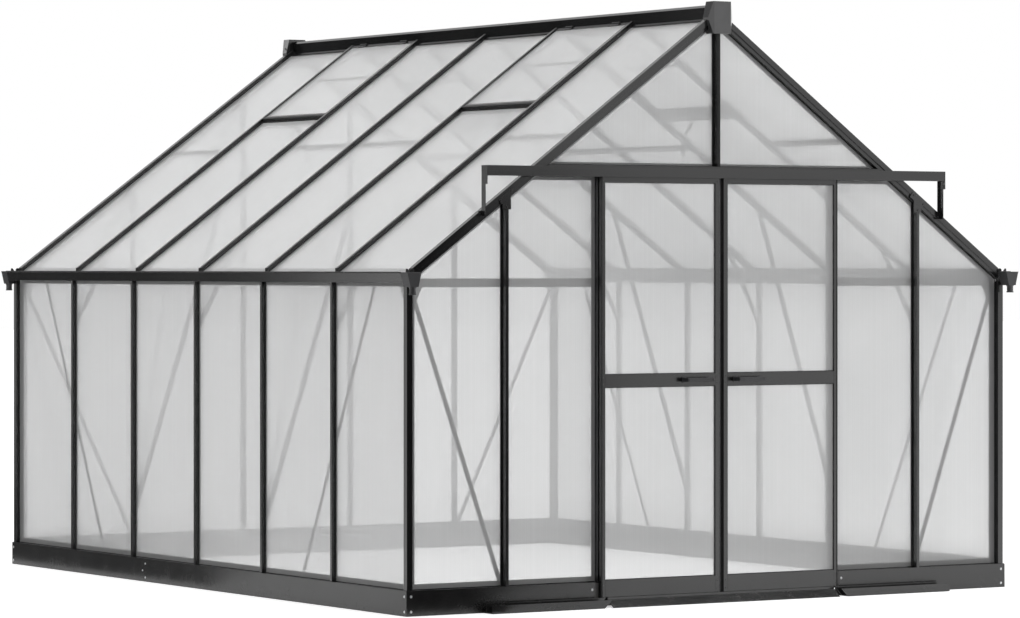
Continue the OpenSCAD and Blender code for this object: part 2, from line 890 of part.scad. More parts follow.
// Cross bars on the front wall at eave height, from jamb to eave beam
module transoms() {
    color(metal_colour) at_origin() both_sides()
        block([jamb_out - jamb_tail, -fy, transom_z0],
              [px_in - beam_w - joint, -eave_l + transom_lap, transom_z1]);
}

// Corner plate with one corner cut off, its upper edge at z1, reaching out from u0
function gusset_outline(u0, z1) = [[u0, z1 - gusset_h], [u0, z1], [u0 + gusset_w, z1],
    [u0 + gusset_w - gusset_cut, z1 - gusset_h]];

// Plates in the corners under the transoms and the eave beams
module gussets() {
    color(metal_colour) at_origin() both_ends() both_sides() {
        mirror([1, 0, 0]) slab_y(gusset_outline(-fx + leg + joint, transom_z0 - joint), -fy, -fy + leg);
        slab_x(gusset_outline(-fy + leg + joint, beam_z - joint), fx - leg, fx);
    }
}

// Flat bar through two points of a plane, running on past both
module flat_bar(p0, p1, w, t) {
    run = p1 - p0;
    over = 2 * w;
    translate([p0[0], p0[1], 0]) rotate([0, 0, atan2(run[1], run[0])])
        translate([-over, -w / 2, 0]) cube([norm(run) + 2 * over, w, t]);
}

// Diagonal in an end wall, from the gusset in the corner to the foot of a bar at x1
module end_brace(x1) {
    z0 = transom_z0 - joint - gusset_h;
    intersection() {
        translate([0, -fy + leg, 0]) rotate([90, 0, 0])
            flat_bar([fx - brace_w / 2, transom_z0], [x1 + brace_w / 4, base_h], brace_w, leg);
        block([x1 - inner_flange / 2, -fy, base_h + joint], [fx, -fy + leg, z0 - joint]);
    }
}

module wall_braces() {
    eave_y = half_l - bay / 2;
    foot_y = half_l - bay * 1.5;
    color(metal_colour) at_origin() {
        both_ends() both_sides() intersection() {
            translate([fx - leg, 0, 0]) rotate([90, 0, 90])
                flat_bar([-eave_y, beam_z], [-foot_y, base_h], brace_w, leg);
            block([fx - leg, -half_l, base_h + joint], [fx, half_l, beam_z]);
        }
        both_sides() end_brace(stud_x);
        back_end() both_sides() end_brace(back_studs[1]);
    }
}

// Strut in a cross frame, from the face of a side bar up to the underside of the roof bar
module frame_strut(y, z0, rise) {
    half = strut_w / 2 * sqrt(1 + rise * rise);
    top = roof_z(0, d_rib + joint);
    xa = (z0 + fx * rise + half - top) / (rise - slope);
    xb = (z0 + fx * rise - half - top) / (rise - slope);
    slab_y([[fx - joint, z0 - half], [fx - joint, z0 + half], [xa, top - xa * slope],
            [xb, top - xb * slope]], y - strut_t / 2, y + strut_t / 2);
}

// Short braces from the eaves to the roof bars at every other frame
module knee_braces() {
    color(metal_colour) at_origin() both_sides() for (k = [1 : 2 : bar_count])
        frame_strut(bar_y(k), eave_z - strut_end, knee_rise);
}

// Long struts from low on the walls to the roof bars at the frames between
module roof_struts() {
    color(metal_colour) at_origin() both_sides() for (k = [2 : 2 : bar_count - 1])
        frame_strut(bar_y(k), base_h + strut_end, strut_rise);
}

// ---------- roof vents ----------

// Frame of one closed vent over bay k on the right slope: four bars, each with a ledge
// that carries the sheet, and a cross bar under the sheet
module vent_frame(k) {
    y0 = bar_y(k) + rib_w / 2 + sink;
    y1 = bar_y(k + 1) - rib_w / 2 - sink;
    x0 = crown_w / 2 + sink;
    x1 = vent_x + cross_w - vent_in;
    ya = y0 + vent_bar;
    yb = y1 - vent_bar;
    d = vent_d0 + 1 + pane_t + joint;
    for (side = [0, 1]) {
        e = side == 0 ? ya : yb;
        roof_layer(x0, x1, vent_d0, vent_low, side == 0 ? y0 : yb, side == 0 ? ya : y1);
        roof_layer(x0 + vent_bar, x1 - vent_bar, d, d + leg, e - vent_step, e + vent_step);
    }
    for (foot = [0, 1]) {
        xa = foot == 0 ? x0 : x1 - vent_bar;
        xl = foot == 0 ? x0 + vent_bar - sink : x1 - vent_bar - vent_step;
        roof_layer(xa, xa + vent_bar, vent_d0, vent_low, ya + joint, yb - joint);
        roof_layer(xl, xl + vent_step + sink, d, d + leg, ya + vent_step + joint, yb - vent_step - joint);
    }
    roof_layer(vent_mid, vent_mid + purlin_d, d, vent_low, ya + vent_step + joint, yb - vent_step - joint);
}

module vent_frames() {
    color(dark_colour) at_origin() both_sides() for (k = vent_bays) vent_frame(k);
}

module vent_panes() {
    gap = vent_bar + fit;
    color(sheet_colour) at_origin() both_sides() for (k = vent_bays)
        roof_layer(crown_w / 2 + sink + gap, vent_x + cross_w - vent_in - gap,
                   vent_d0 + 1, vent_d0 + 1 + pane_t,
                   bar_y(k) + rib_w / 2 + sink + gap, bar_y(k + 1) - rib_w / 2 - sink - gap);
}

// Stay that hangs from the cross bar at the foot of a vent, in two links that meet at an elbow
module vent_stays() {
    x = vent_x + cross_w / 2;
    xe = x - stay_w / 2 - stay_lean;
    foot = xe - 1.75 * stay_w;
    top = roof_z(x, d_leg + cross_d) - joint;
    elbow = top - stay_elbow;
    rise = stay_w / 2 * slope;
    color(dark_colour) at_origin() both_sides() for (k = vent_bays)
        translate([0, bar_y(k) + bay / 2, 0]) {
            slab_y([[x - stay_w / 2, top + rise], [x + stay_w / 2, top - rise], [xe, elbow],
                    [xe - stay_w, elbow]], -stay_t / 2, stay_t / 2);
            slab_y([[xe - stay_w - sink, elbow + sink], [xe + sink, elbow + sink],
                    [foot + stay_w, top - stay_l], [foot, top - stay_l]], -stay_t, stay_t);
        }
}

// ---------- doors ----------

// Brackets that close the ends of the track and carry it on the rake
module track_bracket() {
    x0 = track_half - leg;
    tab_z = min(roof_z(track_half, rake_d / 2), track_z - end_drop - tab_h);
    block([x0, -track_front, track_z - end_drop], [track_half, -half_l, track_z + track_h]);
    block([x0, -half_l - end_deep, tab_z], [track_half, -half_l, track_z - end_drop + sink]);
    block([track_half - end_flange, -half_l - leg, tab_z], [track_half, -half_l, track_z - joint]);
    block([track_half - tab_w / 2, -half_l - leg, tab_z], [track_half + tab_w / 2, -half_l, tab_z + tab_h]);
}

// Hook-shaped section of the door track, y = 0 on the face of the wall, z = 0 at its underside
module track_section() {
    front = half_l - track_front;
    translate([-leg, 0]) square([leg, track_h]);
    translate([front, track_h - leg]) square([-front, leg]);
    translate([front, 0]) square([metal, track_h]);
    translate([front, ledge_z - track_z]) square([metal + ledge_w, leg]);
}

module door_track() {
    run = track_half - leg - joint;
    color(metal_colour) at_origin() {
        translate([-run, -half_l, track_z]) rotate([90, 0, 90]) linear_extrude(2 * run) track_section();
        both_sides() translate([0, -joint, 0]) track_bracket();
    }
}

// Floor channel beside the doorway with the upright fin that guides the leaf.
// Its inner end is cut back towards the floor to clear the ramp.
module floor_guide() {
    fin_y = -leaf_front - leaf_gap;
    block([guide_x + guide_cut, -base_y - guide_d, 0], [guide_end, -base_y, leg]);
    slab_y([[guide_x + guide_cut, 0], [guide_end, 0], [guide_end, guide_h], [guide_x, guide_h]],
           -base_y - guide_d, -base_y - guide_d + leg);
    slab_y([[guide_x + guide_cut, 0], [guide_end, 0], [guide_end, fin_top], [guide_x, fin_top]],
           fin_y - fin_t, fin_y);
}

module door_guides() {
    color(metal_colour) at_origin() both_sides() floor_guide();
}

// Outline of the threshold in Y and Z, drawn in by an inset, its foot at z0
function ramp_outline(inset, z0) = [
    [-base_y - guide_d + 2 * inset, z0],
    [-base_y - guide_d + ramp_l + inset / 2, ramp_h - inset],
    [-base_y + base_d - ramp_l / 2 - inset / 2, ramp_h - inset],
    [-base_y + base_d - 2 * inset, z0]];

// Threshold across the doorway: a folded ramp with a fin each side of the leaves
module threshold() {
    fin_y = -leaf_front - leaf_gap;
    color(metal_colour) at_origin() {
        difference() {
            slab_x(ramp_outline(0, 0), -open_w + joint, open_w - joint);
            slab_x(ramp_outline(leg, -1), -open_w, open_w);
        }
        for (y = [fin_y - fin_t, -base_y])
            block([-open_w + joint, y, ramp_h - sink], [open_w - joint, y + fin_t, fin_top]);
    }
}

// Section of a door profile of width w, outer edge at x = 0, with a slot for the sheet
// in its inner edge, and in its outer edge too where both is set
module leaf_section(w, both = false) {
    slot = pane_t + 2 * joint;
    web_x = both ? slot_d + skin : skin;
    difference() {
        square([w, leaf_t]);
        translate([w - slot_d, (leaf_t - slot) / 2]) square([slot_d + 1, slot]);
        if (both) translate([-1, (leaf_t - slot) / 2]) square([slot_d + 1, slot]);
        translate([web_x, skin]) square([w - slot_d - skin - web_x, leaf_t - 2 * skin]);
    }
}

// Stretches a section from the bottom to the top of a leaf, its outer edge at x
module stile(x) {
    translate([x, -leaf_front, leaf_bottom]) linear_extrude(leaf_top - leaf_bottom) children();
}

// Stretches a section from x0 to x1 between the stiles, its outer edge at z and its width upwards
module rail(x0, x1, z) {
    translate([x0, -leaf_front, z]) rotate([90, 0, 90]) linear_extrude(x1 - x0)
        rotate([0, 0, 90]) mirror([0, 1]) children();
}

// Frame of the right leaf: two stiles with a head rail, a middle rail and a bottom rail.
// The meeting stile has a fin at the back that closes the gap to the other leaf.
module leaf_frame() {
    x0 = meet_gap / 2;
    x1 = x0 + leaf_w;
    xa = x0 + meet_w + joint;
    xb = x1 - stile_w - joint;
    fin_w = (meet_gap - seal_gap) / 2;
    stile(x0) {
        leaf_section(meet_w);
        translate([-fin_w, leaf_t - fin_t]) square([fin_w + sink, fin_t]);
    }
    stile(x1) mirror([1, 0]) leaf_section(stile_w);
    rail(xa, xb, leaf_top) mirror([1, 0]) leaf_section(leaf_top - head_rail_z);
    rail(xa, xb, mid_rail_z - mid_h / 2) leaf_section(mid_h, true);
    rail(xa, xb, leaf_bottom) leaf_section(low_rail_top - leaf_bottom);
}

// Two sheets of a leaf, seated in the slots of the profiles round them
module leaf_panes() {
    grip = slot_d - sink;
    x0 = meet_gap / 2 + meet_w - grip;
    x1 = meet_gap / 2 + leaf_w - stile_w + grip;
    y0 = -leaf_mid - pane_t / 2;
    mid_z0 = mid_rail_z - mid_h / 2;
    mid_z1 = mid_rail_z + mid_h / 2;
    block([x0, y0, low_rail_top - grip], [x1, y0 + pane_t, mid_z0 + grip]);
    block([x0, y0, mid_z1 - grip], [x1, y0 + pane_t, head_rail_z + grip]);
}

// Bow handle across the middle rail beside the meeting stile
module leaf_handle() {
    x0 = meet_gap / 2 + meet_w + handle_in;
    bow = -leaf_front - handle_off;
    for (x = [x0, x0 + handle_l - handle_foot])
        block([x, bow + handle_t - sink, mid_rail_z - handle_h / 2 + handle_step],
              [x + handle_foot, -leaf_front, mid_rail_z + handle_h / 2 - handle_step]);
    block([x0, bow, mid_rail_z - handle_h / 2], [x0 + handle_l, bow + handle_t, mid_rail_z + handle_h / 2]);
}

// Hangers on top of the leaf, each with a wheel that rolls on the ledge of the track
module leaf_rollers() {
    axle_z = ledge_z + leg + wheel_gap + wheel_r;
    wheel_y = -track_front + metal + wheel_side;
    for (x = [meet_gap / 2 + hanger_in, meet_gap / 2 + leaf_w - hanger_in]) {
        block([x - hanger_w / 2, -leaf_mid - hanger_t / 2, leaf_top],
              [x + hanger_w / 2, -leaf_mid + hanger_t / 2, axle_z + hanger_up]);
        translate([x, wheel_y, axle_z]) rotate([-90, 0, 0])
            cylinder(h = -leaf_mid - wheel_y, r = axle_r, $fn = 32);
        translate([x, wheel_y, axle_z]) rotate([-90, 0, 0]) cylinder(h = wheel_w, r = wheel_r, $fn = 48);
    }
}

module door_right_frame() {
    color(metal_colour) at_origin() leaf_frame();
}

module door_left_frame() {
    color(metal_colour) at_origin() left_side() leaf_frame();
}

module door_right_panes() {
    color(sheet_colour) at_origin() leaf_panes();
}

module door_left_panes() {
    color(sheet_colour) at_origin() left_side() leaf_panes();
}

module door_right_handle() {
    color(metal_colour) at_origin() leaf_handle();
}

module door_left_handle() {
    color(metal_colour) at_origin() left_side() leaf_handle();
}

module door_right_rollers() {
    color(dark_colour) at_origin() leaf_rollers();
}

module door_left_rollers() {
    color(dark_colour) at_origin() left_side() leaf_rollers();
}

base_front();
base_back();
base_left();
base_right();
sills();
corner_posts();
studs_left();
studs_right();
studs_back();
studs_front();
door_jambs();
door_header();
king_post();
eave_left();
eave_right();
gutter_left();
gutter_right();
gutter_ends();
roof_bars_left();
roof_bars_right();
rakes_front();
rakes_back();
ridge_beam();
ridge_caps();
wall_panels_left();
wall_panels_right();
wall_panels_back();
wall_panels_front();
gable_panels();
roof_panels_left();
roof_panels_right();
purlins();
transoms();
gussets();
vent_frames();
vent_panes();
vent_stays();
wall_braces();
knee_braces();
roof_struts();
door_track();
door_guides();
threshold();
door_left_frame();
door_left_panes();
door_left_handle();
door_left_rollers();
door_right_frame();
door_right_panes();
door_right_handle();
door_right_rollers();
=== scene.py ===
import bmesh
import bpy
import math
from mathutils import Matrix, Vector


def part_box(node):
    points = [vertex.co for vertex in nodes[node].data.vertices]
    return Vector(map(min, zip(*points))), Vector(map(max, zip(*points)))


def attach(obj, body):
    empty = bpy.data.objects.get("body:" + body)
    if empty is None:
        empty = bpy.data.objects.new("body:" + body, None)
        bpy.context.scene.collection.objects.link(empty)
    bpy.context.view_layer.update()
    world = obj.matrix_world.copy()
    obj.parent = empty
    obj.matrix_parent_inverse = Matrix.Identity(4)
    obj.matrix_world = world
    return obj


# ---------- the greenhouse as it comes from the workshop ----------

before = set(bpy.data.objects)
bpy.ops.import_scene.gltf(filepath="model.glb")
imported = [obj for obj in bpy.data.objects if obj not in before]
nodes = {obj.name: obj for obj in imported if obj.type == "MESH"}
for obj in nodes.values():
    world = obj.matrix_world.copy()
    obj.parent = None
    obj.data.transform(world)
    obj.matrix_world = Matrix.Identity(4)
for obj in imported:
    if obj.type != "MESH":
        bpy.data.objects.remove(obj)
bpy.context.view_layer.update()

# Places taken from the metalwork, in metres: X across the doors, Y back along the walls, Z up
POST_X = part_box("corner_posts")[1].x
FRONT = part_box("corner_posts")[0].y
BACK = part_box("corner_posts")[1].y
MIDDLE = (FRONT + BACK) / 2
BASE_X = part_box("base_right")[1].x
BASE_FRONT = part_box("base_front")[0].y
BASE_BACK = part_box("base_back")[1].y
BASE_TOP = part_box("base_front")[1].z
SHEET_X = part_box("wall_panels_right")[1].x
SHEET_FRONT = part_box("wall_panels_front")[0].y
SHEET_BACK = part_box("wall_panels_back")[1].y
LEAF_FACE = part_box("door_right_frame")[0].y
LEAF_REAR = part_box("door_right_frame")[1].y

# The frame's own sizes: bays, bars and roof, with depths square below the roof bars' faces
BAY = 0.610
BARS = [MIDDLE + BAY * k for k in (-2, -1, 0, 1, 2)]
BACK_BARS = (BAY * 0.5, BAY * 1.5)
VENT_BAYS = (BARS[0] + BAY / 2, BARS[3] + BAY / 2)
POST = 0.027
POST_INNER = POST_X - POST
BAY_EDGES = [FRONT + POST] + BARS + [BACK - POST]
BAR_CLEAR = 0.0165
FLANGE = 0.012
STUD_X = 1.063
TRACK_Z = 1.800
PITCH = math.radians(36)
SLOPE = math.tan(PITCH)
APEX = 2.5186
SHEET_DEPTH = 0.018
RAKE_DEPTH = 0.0425

ACROSS, ALONG, UP = Vector((1, 0, 0)), Vector((0, 1, 0)), Vector((0, 0, 1))
SIDES = ((-1, "left"), (1, "right"))


def roof_z(x, depth):
    """Height of the roof at a distance from the ridge, at a square depth below the bars."""
    return APEX - abs(x) * SLOPE - depth / math.cos(PITCH)


def slope_axes(sign):
    """The ways down a roof slope and square out of it; sign is -1 on the left, 1 on the right."""
    return (Vector((sign * math.cos(PITCH), 0, -math.sin(PITCH))),
            Vector((sign * math.sin(PITCH), 0, math.cos(PITCH))))


def has_vent(middle):
    """Says whether the roof bay with this middle holds a vent."""
    return any(abs(middle - vent) < 0.01 for vent in VENT_BAYS)


# ---------- shading shared by the finishes ----------

def new_group(name, inputs, outputs):
    """A shading group with its way in and its way out. An input without a number is a place."""
    group = bpy.data.node_groups.new(name, "ShaderNodeTree")
    for label, usual in inputs.items():
        kind = "NodeSocketVector" if usual is None else "NodeSocketFloat"
        socket = group.interface.new_socket(name=label, in_out="INPUT", socket_type=kind)
        if usual is not None:
            socket.default_value = usual
    for label in outputs:
        group.interface.new_socket(name=label, in_out="OUTPUT", socket_type="NodeSocketFloat")
    return group, group.nodes.new("NodeGroupInput"), group.nodes.new("NodeGroupOutput")


def feed(tree, value, way_in):
    """Links a socket to an input, or writes a plain value there."""
    if hasattr(value, "is_output"):
        tree.links.new(value, way_in)
    else:
        way_in.default_value = value


def sum_node(tree, how, a, b=0.5, c=None, clamp=False):
    """A Math node; each argument is a number or a socket."""
    n = tree.nodes.new("ShaderNodeMath")
    n.operation = how
    n.use_clamp = clamp
    for value, way_in in zip((a, b) if c is None else (a, b, c), n.inputs):
        feed(tree, value, way_in)
    return n.outputs[0]


def share(tree, mask, amount):
    """A share of a mask; the amount is a number or another mask."""
    return sum_node(tree, "MULTIPLY", mask, amount)


def lifted(tree, base, mask, amount):
    """A value lifted by a share of a mask."""
    return sum_node(tree, "MULTIPLY_ADD", mask, amount, base)


def spread(tree, value, low, high, to_low=0.0, to_high=1.0):
    """Brings a value from one range to another, smoothly and without going past it."""
    n = tree.nodes.new("ShaderNodeMapRange")
    n.interpolation_type = "SMOOTHSTEP"
    for given, way_in in zip((value, low, high, to_low, to_high), n.inputs):
        feed(tree, given, way_in)
    return n.outputs[0]


def mapped(tree, place, how, amounts):
    """The place stretched, with "Scale", or turned, with "Rotation"."""
    m = tree.nodes.new("ShaderNodeMapping")
    m.inputs[how].default_value = amounts
    tree.links.new(place, m.inputs["Vector"])
    return m.outputs[0]


def noise(tree, place, scale, detail, rough=0.5, stretch=None):
    """Soft random field over a place, stretched along an axis where stretch is given."""
    if stretch:
        place = mapped(tree, place, "Scale", stretch)
    n = tree.nodes.new("ShaderNodeTexNoise")
    n.inputs["Detail"].default_value = detail
    n.inputs["Roughness"].default_value = rough
    feed(tree, scale, n.inputs["Scale"])
    tree.links.new(place, n.inputs["Vector"])
    return n.outputs["Fac"]


def powder_grain():
    """Orange peel and speckle of baked powder, with slow drifts of tone."""
    g, way_in, way_out = new_group(
        "powder_grain", {"Place": None, "Peel Size": 900.0, "Speckle Size": 2400.0},
        ("Tone", "Sheen", "Height"))
    place = way_in.outputs["Place"]
    peel = noise(g, place, way_in.outputs["Peel Size"], 1.5)
    speckle = noise(g, place, way_in.outputs["Speckle Size"], 0.0)
    drift = noise(g, place, 2.3, 3.0)
    tone = sum_node(g, "ADD", spread(g, drift, 0.3, 0.7, 0.86, 1.1),
                    spread(g, speckle, 0.55, 0.8, 0.0, 0.28))
    sheen = lifted(g, share(g, peel, 0.06), drift, 0.08)
    height = lifted(g, peel, speckle, 0.35)
    for label, value in (("Tone", tone), ("Sheen", sheen), ("Height", height)):
        g.links.new(value, way_out.inputs[label])
    return g


def die_marks():
    """Fine lines that the die leaves along an extruded bar; the bar runs along X of the place."""
    g, way_in, way_out = new_group("die_marks", {"Place": None, "Fineness": 1.0},
                                   ("Mark", "Height"))
    scaled = g.nodes.new("ShaderNodeVectorMath")
    scaled.operation = "SCALE"
    g.links.new(way_in.outputs["Place"], scaled.inputs[0])
    g.links.new(way_in.outputs["Fineness"], scaled.inputs["Scale"])
    lines = noise(g, scaled.outputs[0], 1.0, 2.0, 0.6, (1.2, 1400.0, 1400.0))
    broad = noise(g, scaled.outputs[0], 1.0, 1.0, 0.5, (0.8, 220.0, 220.0))
    g.links.new(spread(g, lines, 0.62, 0.8), way_out.inputs["Mark"])
    g.links.new(lifted(g, lines, broad, 0.5), way_out.inputs["Height"])
    return g


def ground_splash():
    """Dust and rain splash low on the walls, breaking up as it climbs."""
    g, way_in, way_out = new_group("ground_splash", {"Place": None, "Reach": 0.3}, ("Mask",))
    place = way_in.outputs["Place"]
    split = g.nodes.new("ShaderNodeSeparateXYZ")
    g.links.new(place, split.inputs[0])
    climb = sum_node(g, "DIVIDE", split.outputs["Z"], way_in.outputs["Reach"])
    cloud = noise(g, place, 9.0, 5.0, 0.6)
    fine = noise(g, place, 160.0, 2.0)
    low = sum_node(g, "SUBTRACT", 1.0, climb, clamp=True)
    body = share(g, sum_node(g, "POWER", low, 1.6), spread(g, cloud, 0.35, 0.65, 0.35, 1.0))
    g.links.new(share(g, body, spread(g, fine, 0.3, 0.7, 0.7, 1.0)), way_out.inputs["Mask"])
    return g


def rubbed_and_highlit_edges():
    """Arrises where the coat is thinner and has been rubbed, lightened in patches as wear and as a
    painted highlight along the edges.
    """
    g, way_in, way_out = new_group("rubbed_and_highlit_edges", {"Place": None, "Width": 0.0012}, ("Mask",))
    round_over = g.nodes.new("ShaderNodeBevel")
    round_over.samples = 3
    g.links.new(way_in.outputs["Width"], round_over.inputs["Radius"])
    face = g.nodes.new("ShaderNodeNewGeometry")
    dot = g.nodes.new("ShaderNodeVectorMath")
    dot.operation = "DOT_PRODUCT"
    g.links.new(round_over.outputs[0], dot.inputs[0])
    g.links.new(face.outputs["True Normal"], dot.inputs[1])
    bent = spread(g, dot.outputs["Value"], 0.999, 0.9)
    patch = spread(g, noise(g, way_in.outputs["Place"], 34.0, 4.0, 0.65), 0.42, 0.62)
    g.links.new(share(g, bent, patch), way_out.inputs["Mask"])
    return g


def sheet_flutes():
    """Inner walls of a twin-wall sheet, as a fine ruled shade and a ripple of its skin."""
    g, way_in, way_out = new_group("sheet_flutes", {"Across": 0.0, "Spacing": 0.0105},
                                   ("Wall", "Height"))
    across = way_in.outputs["Across"]
    turn = sum_node(g, "FRACT", sum_node(g, "DIVIDE", across, way_in.outputs["Spacing"]))
    near = sum_node(g, "ABSOLUTE", sum_node(g, "SUBTRACT", turn, 0.5))
    uneven = g.nodes.new("ShaderNodeTexNoise")
    uneven.noise_dimensions = "1D"
    uneven.inputs["Scale"].default_value = 62.0
    uneven.inputs["Detail"].default_value = 1.0
    g.links.new(across, uneven.inputs["W"])
    shade = spread(g, uneven.outputs["Fac"], 0.4, 0.66)
    line = share(g, spread(g, near, 0.36, 0.47), lifted(g, 0.4, shade, 0.6))
    g.links.new(lifted(g, line, shade, 0.3), way_out.inputs["Wall"])
    g.links.new(spread(g, near, 0.0, 0.5), way_out.inputs["Height"])
    return g


def rain_marks():
    """Dried run marks and haze on a sheet: streaks down it and soft clouds over it."""
    g, way_in, way_out = new_group("rain_marks", {"Place": None}, ("Streaks", "Haze"))
    runs = noise(g, way_in.outputs["Place"], 1.0, 3.0, 0.55, (34.0, 34.0, 1.1))
    cloud = noise(g, way_in.outputs["Place"], 1.4, 4.0, 0.55)
    g.links.new(spread(g, runs, 0.5, 0.75), way_out.inputs["Streaks"])
    g.links.new(spread(g, cloud, 0.3, 0.7), way_out.inputs["Haze"])
    return g


def moulded_grain():
    """Fine leather grain of moulded plastic."""
    g, way_in, way_out = new_group("moulded_grain", {"Place": None, "Size": 1300.0},
                                   ("Tone", "Height"))
    cells = g.nodes.new("ShaderNodeTexVoronoi")
    cells.feature = "SMOOTH_F1"
    g.links.new(way_in.outputs["Size"], cells.inputs["Scale"])
    g.links.new(way_in.outputs["Place"], cells.inputs["Vector"])
    flow = noise(g, way_in.outputs["Place"], 14.0, 3.0)
    g.links.new(spread(g, flow, 0.3, 0.7, 0.85, 1.18), way_out.inputs["Tone"])
    g.links.new(cells.outputs["Distance"], way_out.inputs["Height"])
    return g


POWDER = powder_grain()
DIE = die_marks()
SPLASH = ground_splash()
RUBBED_AND_HIGHLIT = rubbed_and_highlit_edges()
FLUTES = sheet_flutes()
RAIN = rain_marks()
GRAIN = moulded_grain()


# ---------- finishes ----------

def new_finish(name):
    """An empty finish; gives it with its tree, its shader and the place on the greenhouse."""
    finish = bpy.data.materials.new(name)
    finish.use_nodes = True
    tree = finish.node_tree
    place = tree.nodes.new("ShaderNodeTexCoord").outputs["Object"]
    return finish, tree, tree.nodes["Principled BSDF"], place


def use_group(tree, group, links, **values):
    """Sets a shared group into a finish, with its links and its own values."""
    n = tree.nodes.new("ShaderNodeGroup")
    n.node_tree = group
    for label, value in {**links, **values}.items():
        feed(tree, value, n.inputs[label])
    return n.outputs


def blend_colour(tree, how_much, first, second):
    """Goes from one colour to another; each is written out or comes from a socket."""
    n = tree.nodes.new("ShaderNodeMix")
    n.data_type = "RGBA"
    feed(tree, how_much, n.inputs[0])
    for colour, way_in in ((first, n.inputs[6]), (second, n.inputs[7])):
        feed(tree, colour if hasattr(colour, "is_output") else (*colour, 1.0), way_in)
    return n.outputs[2]


def tinted(tree, skin, mask, amount, colour):
    """Lays a colour over a skin where a mask shows, by an amount at most."""
    return blend_colour(tree, share(tree, mask, amount), skin, colour)


def shaded(tree, colour, tone):
    """A colour made lighter or darker by a tone that changes over the surface."""
    n = tree.nodes.new("ShaderNodeVectorMath")
    n.operation = "SCALE"
    n.inputs[0].default_value = colour
    tree.links.new(tone, n.inputs["Scale"])
    return n.outputs[0]


def times(colour, amount):
    """A written colour made lighter or darker."""
    return tuple(channel * amount for channel in colour)


def dress(tree, shader, colour, roughness):
    """Gives a shader the colour and the roughness that change over the surface."""
    tree.links.new(colour, shader.inputs["Base Color"])
    tree.links.new(roughness, shader.inputs["Roughness"])


def raise_skin(tree, shader, height, strength, distance):
    """Roughens the skin of a finish by a height."""
    n = tree.nodes.new("ShaderNodeBump")
    n.inputs["Strength"].default_value = strength
    n.inputs["Distance"].default_value = distance
    tree.links.new(height, n.inputs["Height"])
    tree.links.new(n.outputs[0], shader.inputs["Normal"])


def along_bar(tree, place, run):
    """Turns the place so that X runs along the bar: up, back, across or down the roof."""
    if run == "roof":
        split = tree.nodes.new("ShaderNodeSeparateXYZ")
        tree.links.new(place, split.inputs[0])
        join = tree.nodes.new("ShaderNodeCombineXYZ")
        tree.links.new(sum_node(tree, "ABSOLUTE", split.outputs["X"], 0.0), join.inputs["X"])
        tree.links.new(split.outputs["Y"], join.inputs["Y"])
        tree.links.new(split.outputs["Z"], join.inputs["Z"])
        place = join.outputs[0]
    quarter = math.pi / 2
    turn = {"up": (0, quarter, 0), "back": (0, 0, quarter), "across": (0, 0, 0),
            "roof": (0, -PITCH, 0)}[run]
    return mapped(tree, place, "Rotation", turn)


def powder_coat(name, colour, run, rough=0.14, dust=0.06, shine=0.79):
    """Half-gloss black powder coat over an extruded bar."""
    finish, tree, shader, place = new_finish(name)
    grain = use_group(tree, POWDER, {"Place": place})
    marks = use_group(tree, DIE, {"Place": along_bar(tree, place, run)})
    splash = use_group(tree, SPLASH, {"Place": place}, Reach=0.26)
    worn_and_highlit = use_group(tree, RUBBED_AND_HIGHLIT, {"Place": place})
    coat = shaded(tree, colour, grain["Tone"])
    coat = tinted(tree, coat, marks["Mark"], 0.22, times(colour, 1.9))
    # Lighter arrises: rubbed wear of the coat and a painted highlight along the edges
    coat = tinted(tree, coat, worn_and_highlit["Mask"], 0.3, (0.07, 0.07, 0.072))
    coat = tinted(tree, coat, splash["Mask"], dust, (0.085, 0.083, 0.08))
    matt = sum_node(tree, "ADD", grain["Sheen"], rough)
    dress(tree, shader, coat, lifted(tree, matt, splash["Mask"], 0.08))
    shader.inputs["Specular IOR Level"].default_value = shine
    raise_skin(tree, shader, lifted(tree, grain["Height"], marks["Height"], 0.6), 0.2, 0.00006)
    return finish


def twin_wall(name, across, cover, milk_and_shade_tone):
    """Milky twin-wall sheet with its inner walls square to the named axis.
    cover is the share of light that one skin keeps from going straight through. The milk tone is
    the sheet's milky colour, which the copies below set a little apart as painted shade and light."""
    finish, tree, shader, place = new_finish(name)
    split = tree.nodes.new("ShaderNodeSeparateXYZ")
    tree.links.new(place, split.inputs[0])
    walls = use_group(tree, FLUTES, {"Across": split.outputs[across]})
    rain = use_group(tree, RAIN, {"Place": place})
    splash = use_group(tree, SPLASH, {"Place": place}, Reach=0.3)
    milk = blend_colour(tree, rain["Haze"], times((0.985, 0.99, 0.995), milk_and_shade_tone),
                        times((1.015, 1.018, 1.02), milk_and_shade_tone))
    milk = tinted(tree, milk, rain["Streaks"], 0.05, (0.9, 0.9, 0.89))
    milk = tinted(tree, milk, walls["Wall"], 0.2, (0.45, 0.455, 0.46))
    milk = tinted(tree, milk, splash["Mask"], 0.12, (0.6, 0.58, 0.55))
    veil = lifted(tree, cover, rain["Haze"], 0.015)
    veil = lifted(tree, veil, walls["Wall"], 0.05)
    veil = lifted(tree, veil, rain["Streaks"], 0.006)
    veil = lifted(tree, veil, splash["Mask"], 0.05)
    tree.links.new(veil, shader.inputs["Alpha"])
    gloss = lifted(tree, 0.36, rain["Haze"], 0.05)
    dress(tree, shader, milk, lifted(tree, gloss, splash["Mask"], 0.2))
    shader.inputs["Specular IOR Level"].default_value = 0.3
    shader.inputs["Transmission Weight"].default_value = 0.6
    shader.inputs["IOR"].default_value = 1.3
    raise_skin(tree, shader, walls["Height"], 0.12, 0.0001)
    return finish


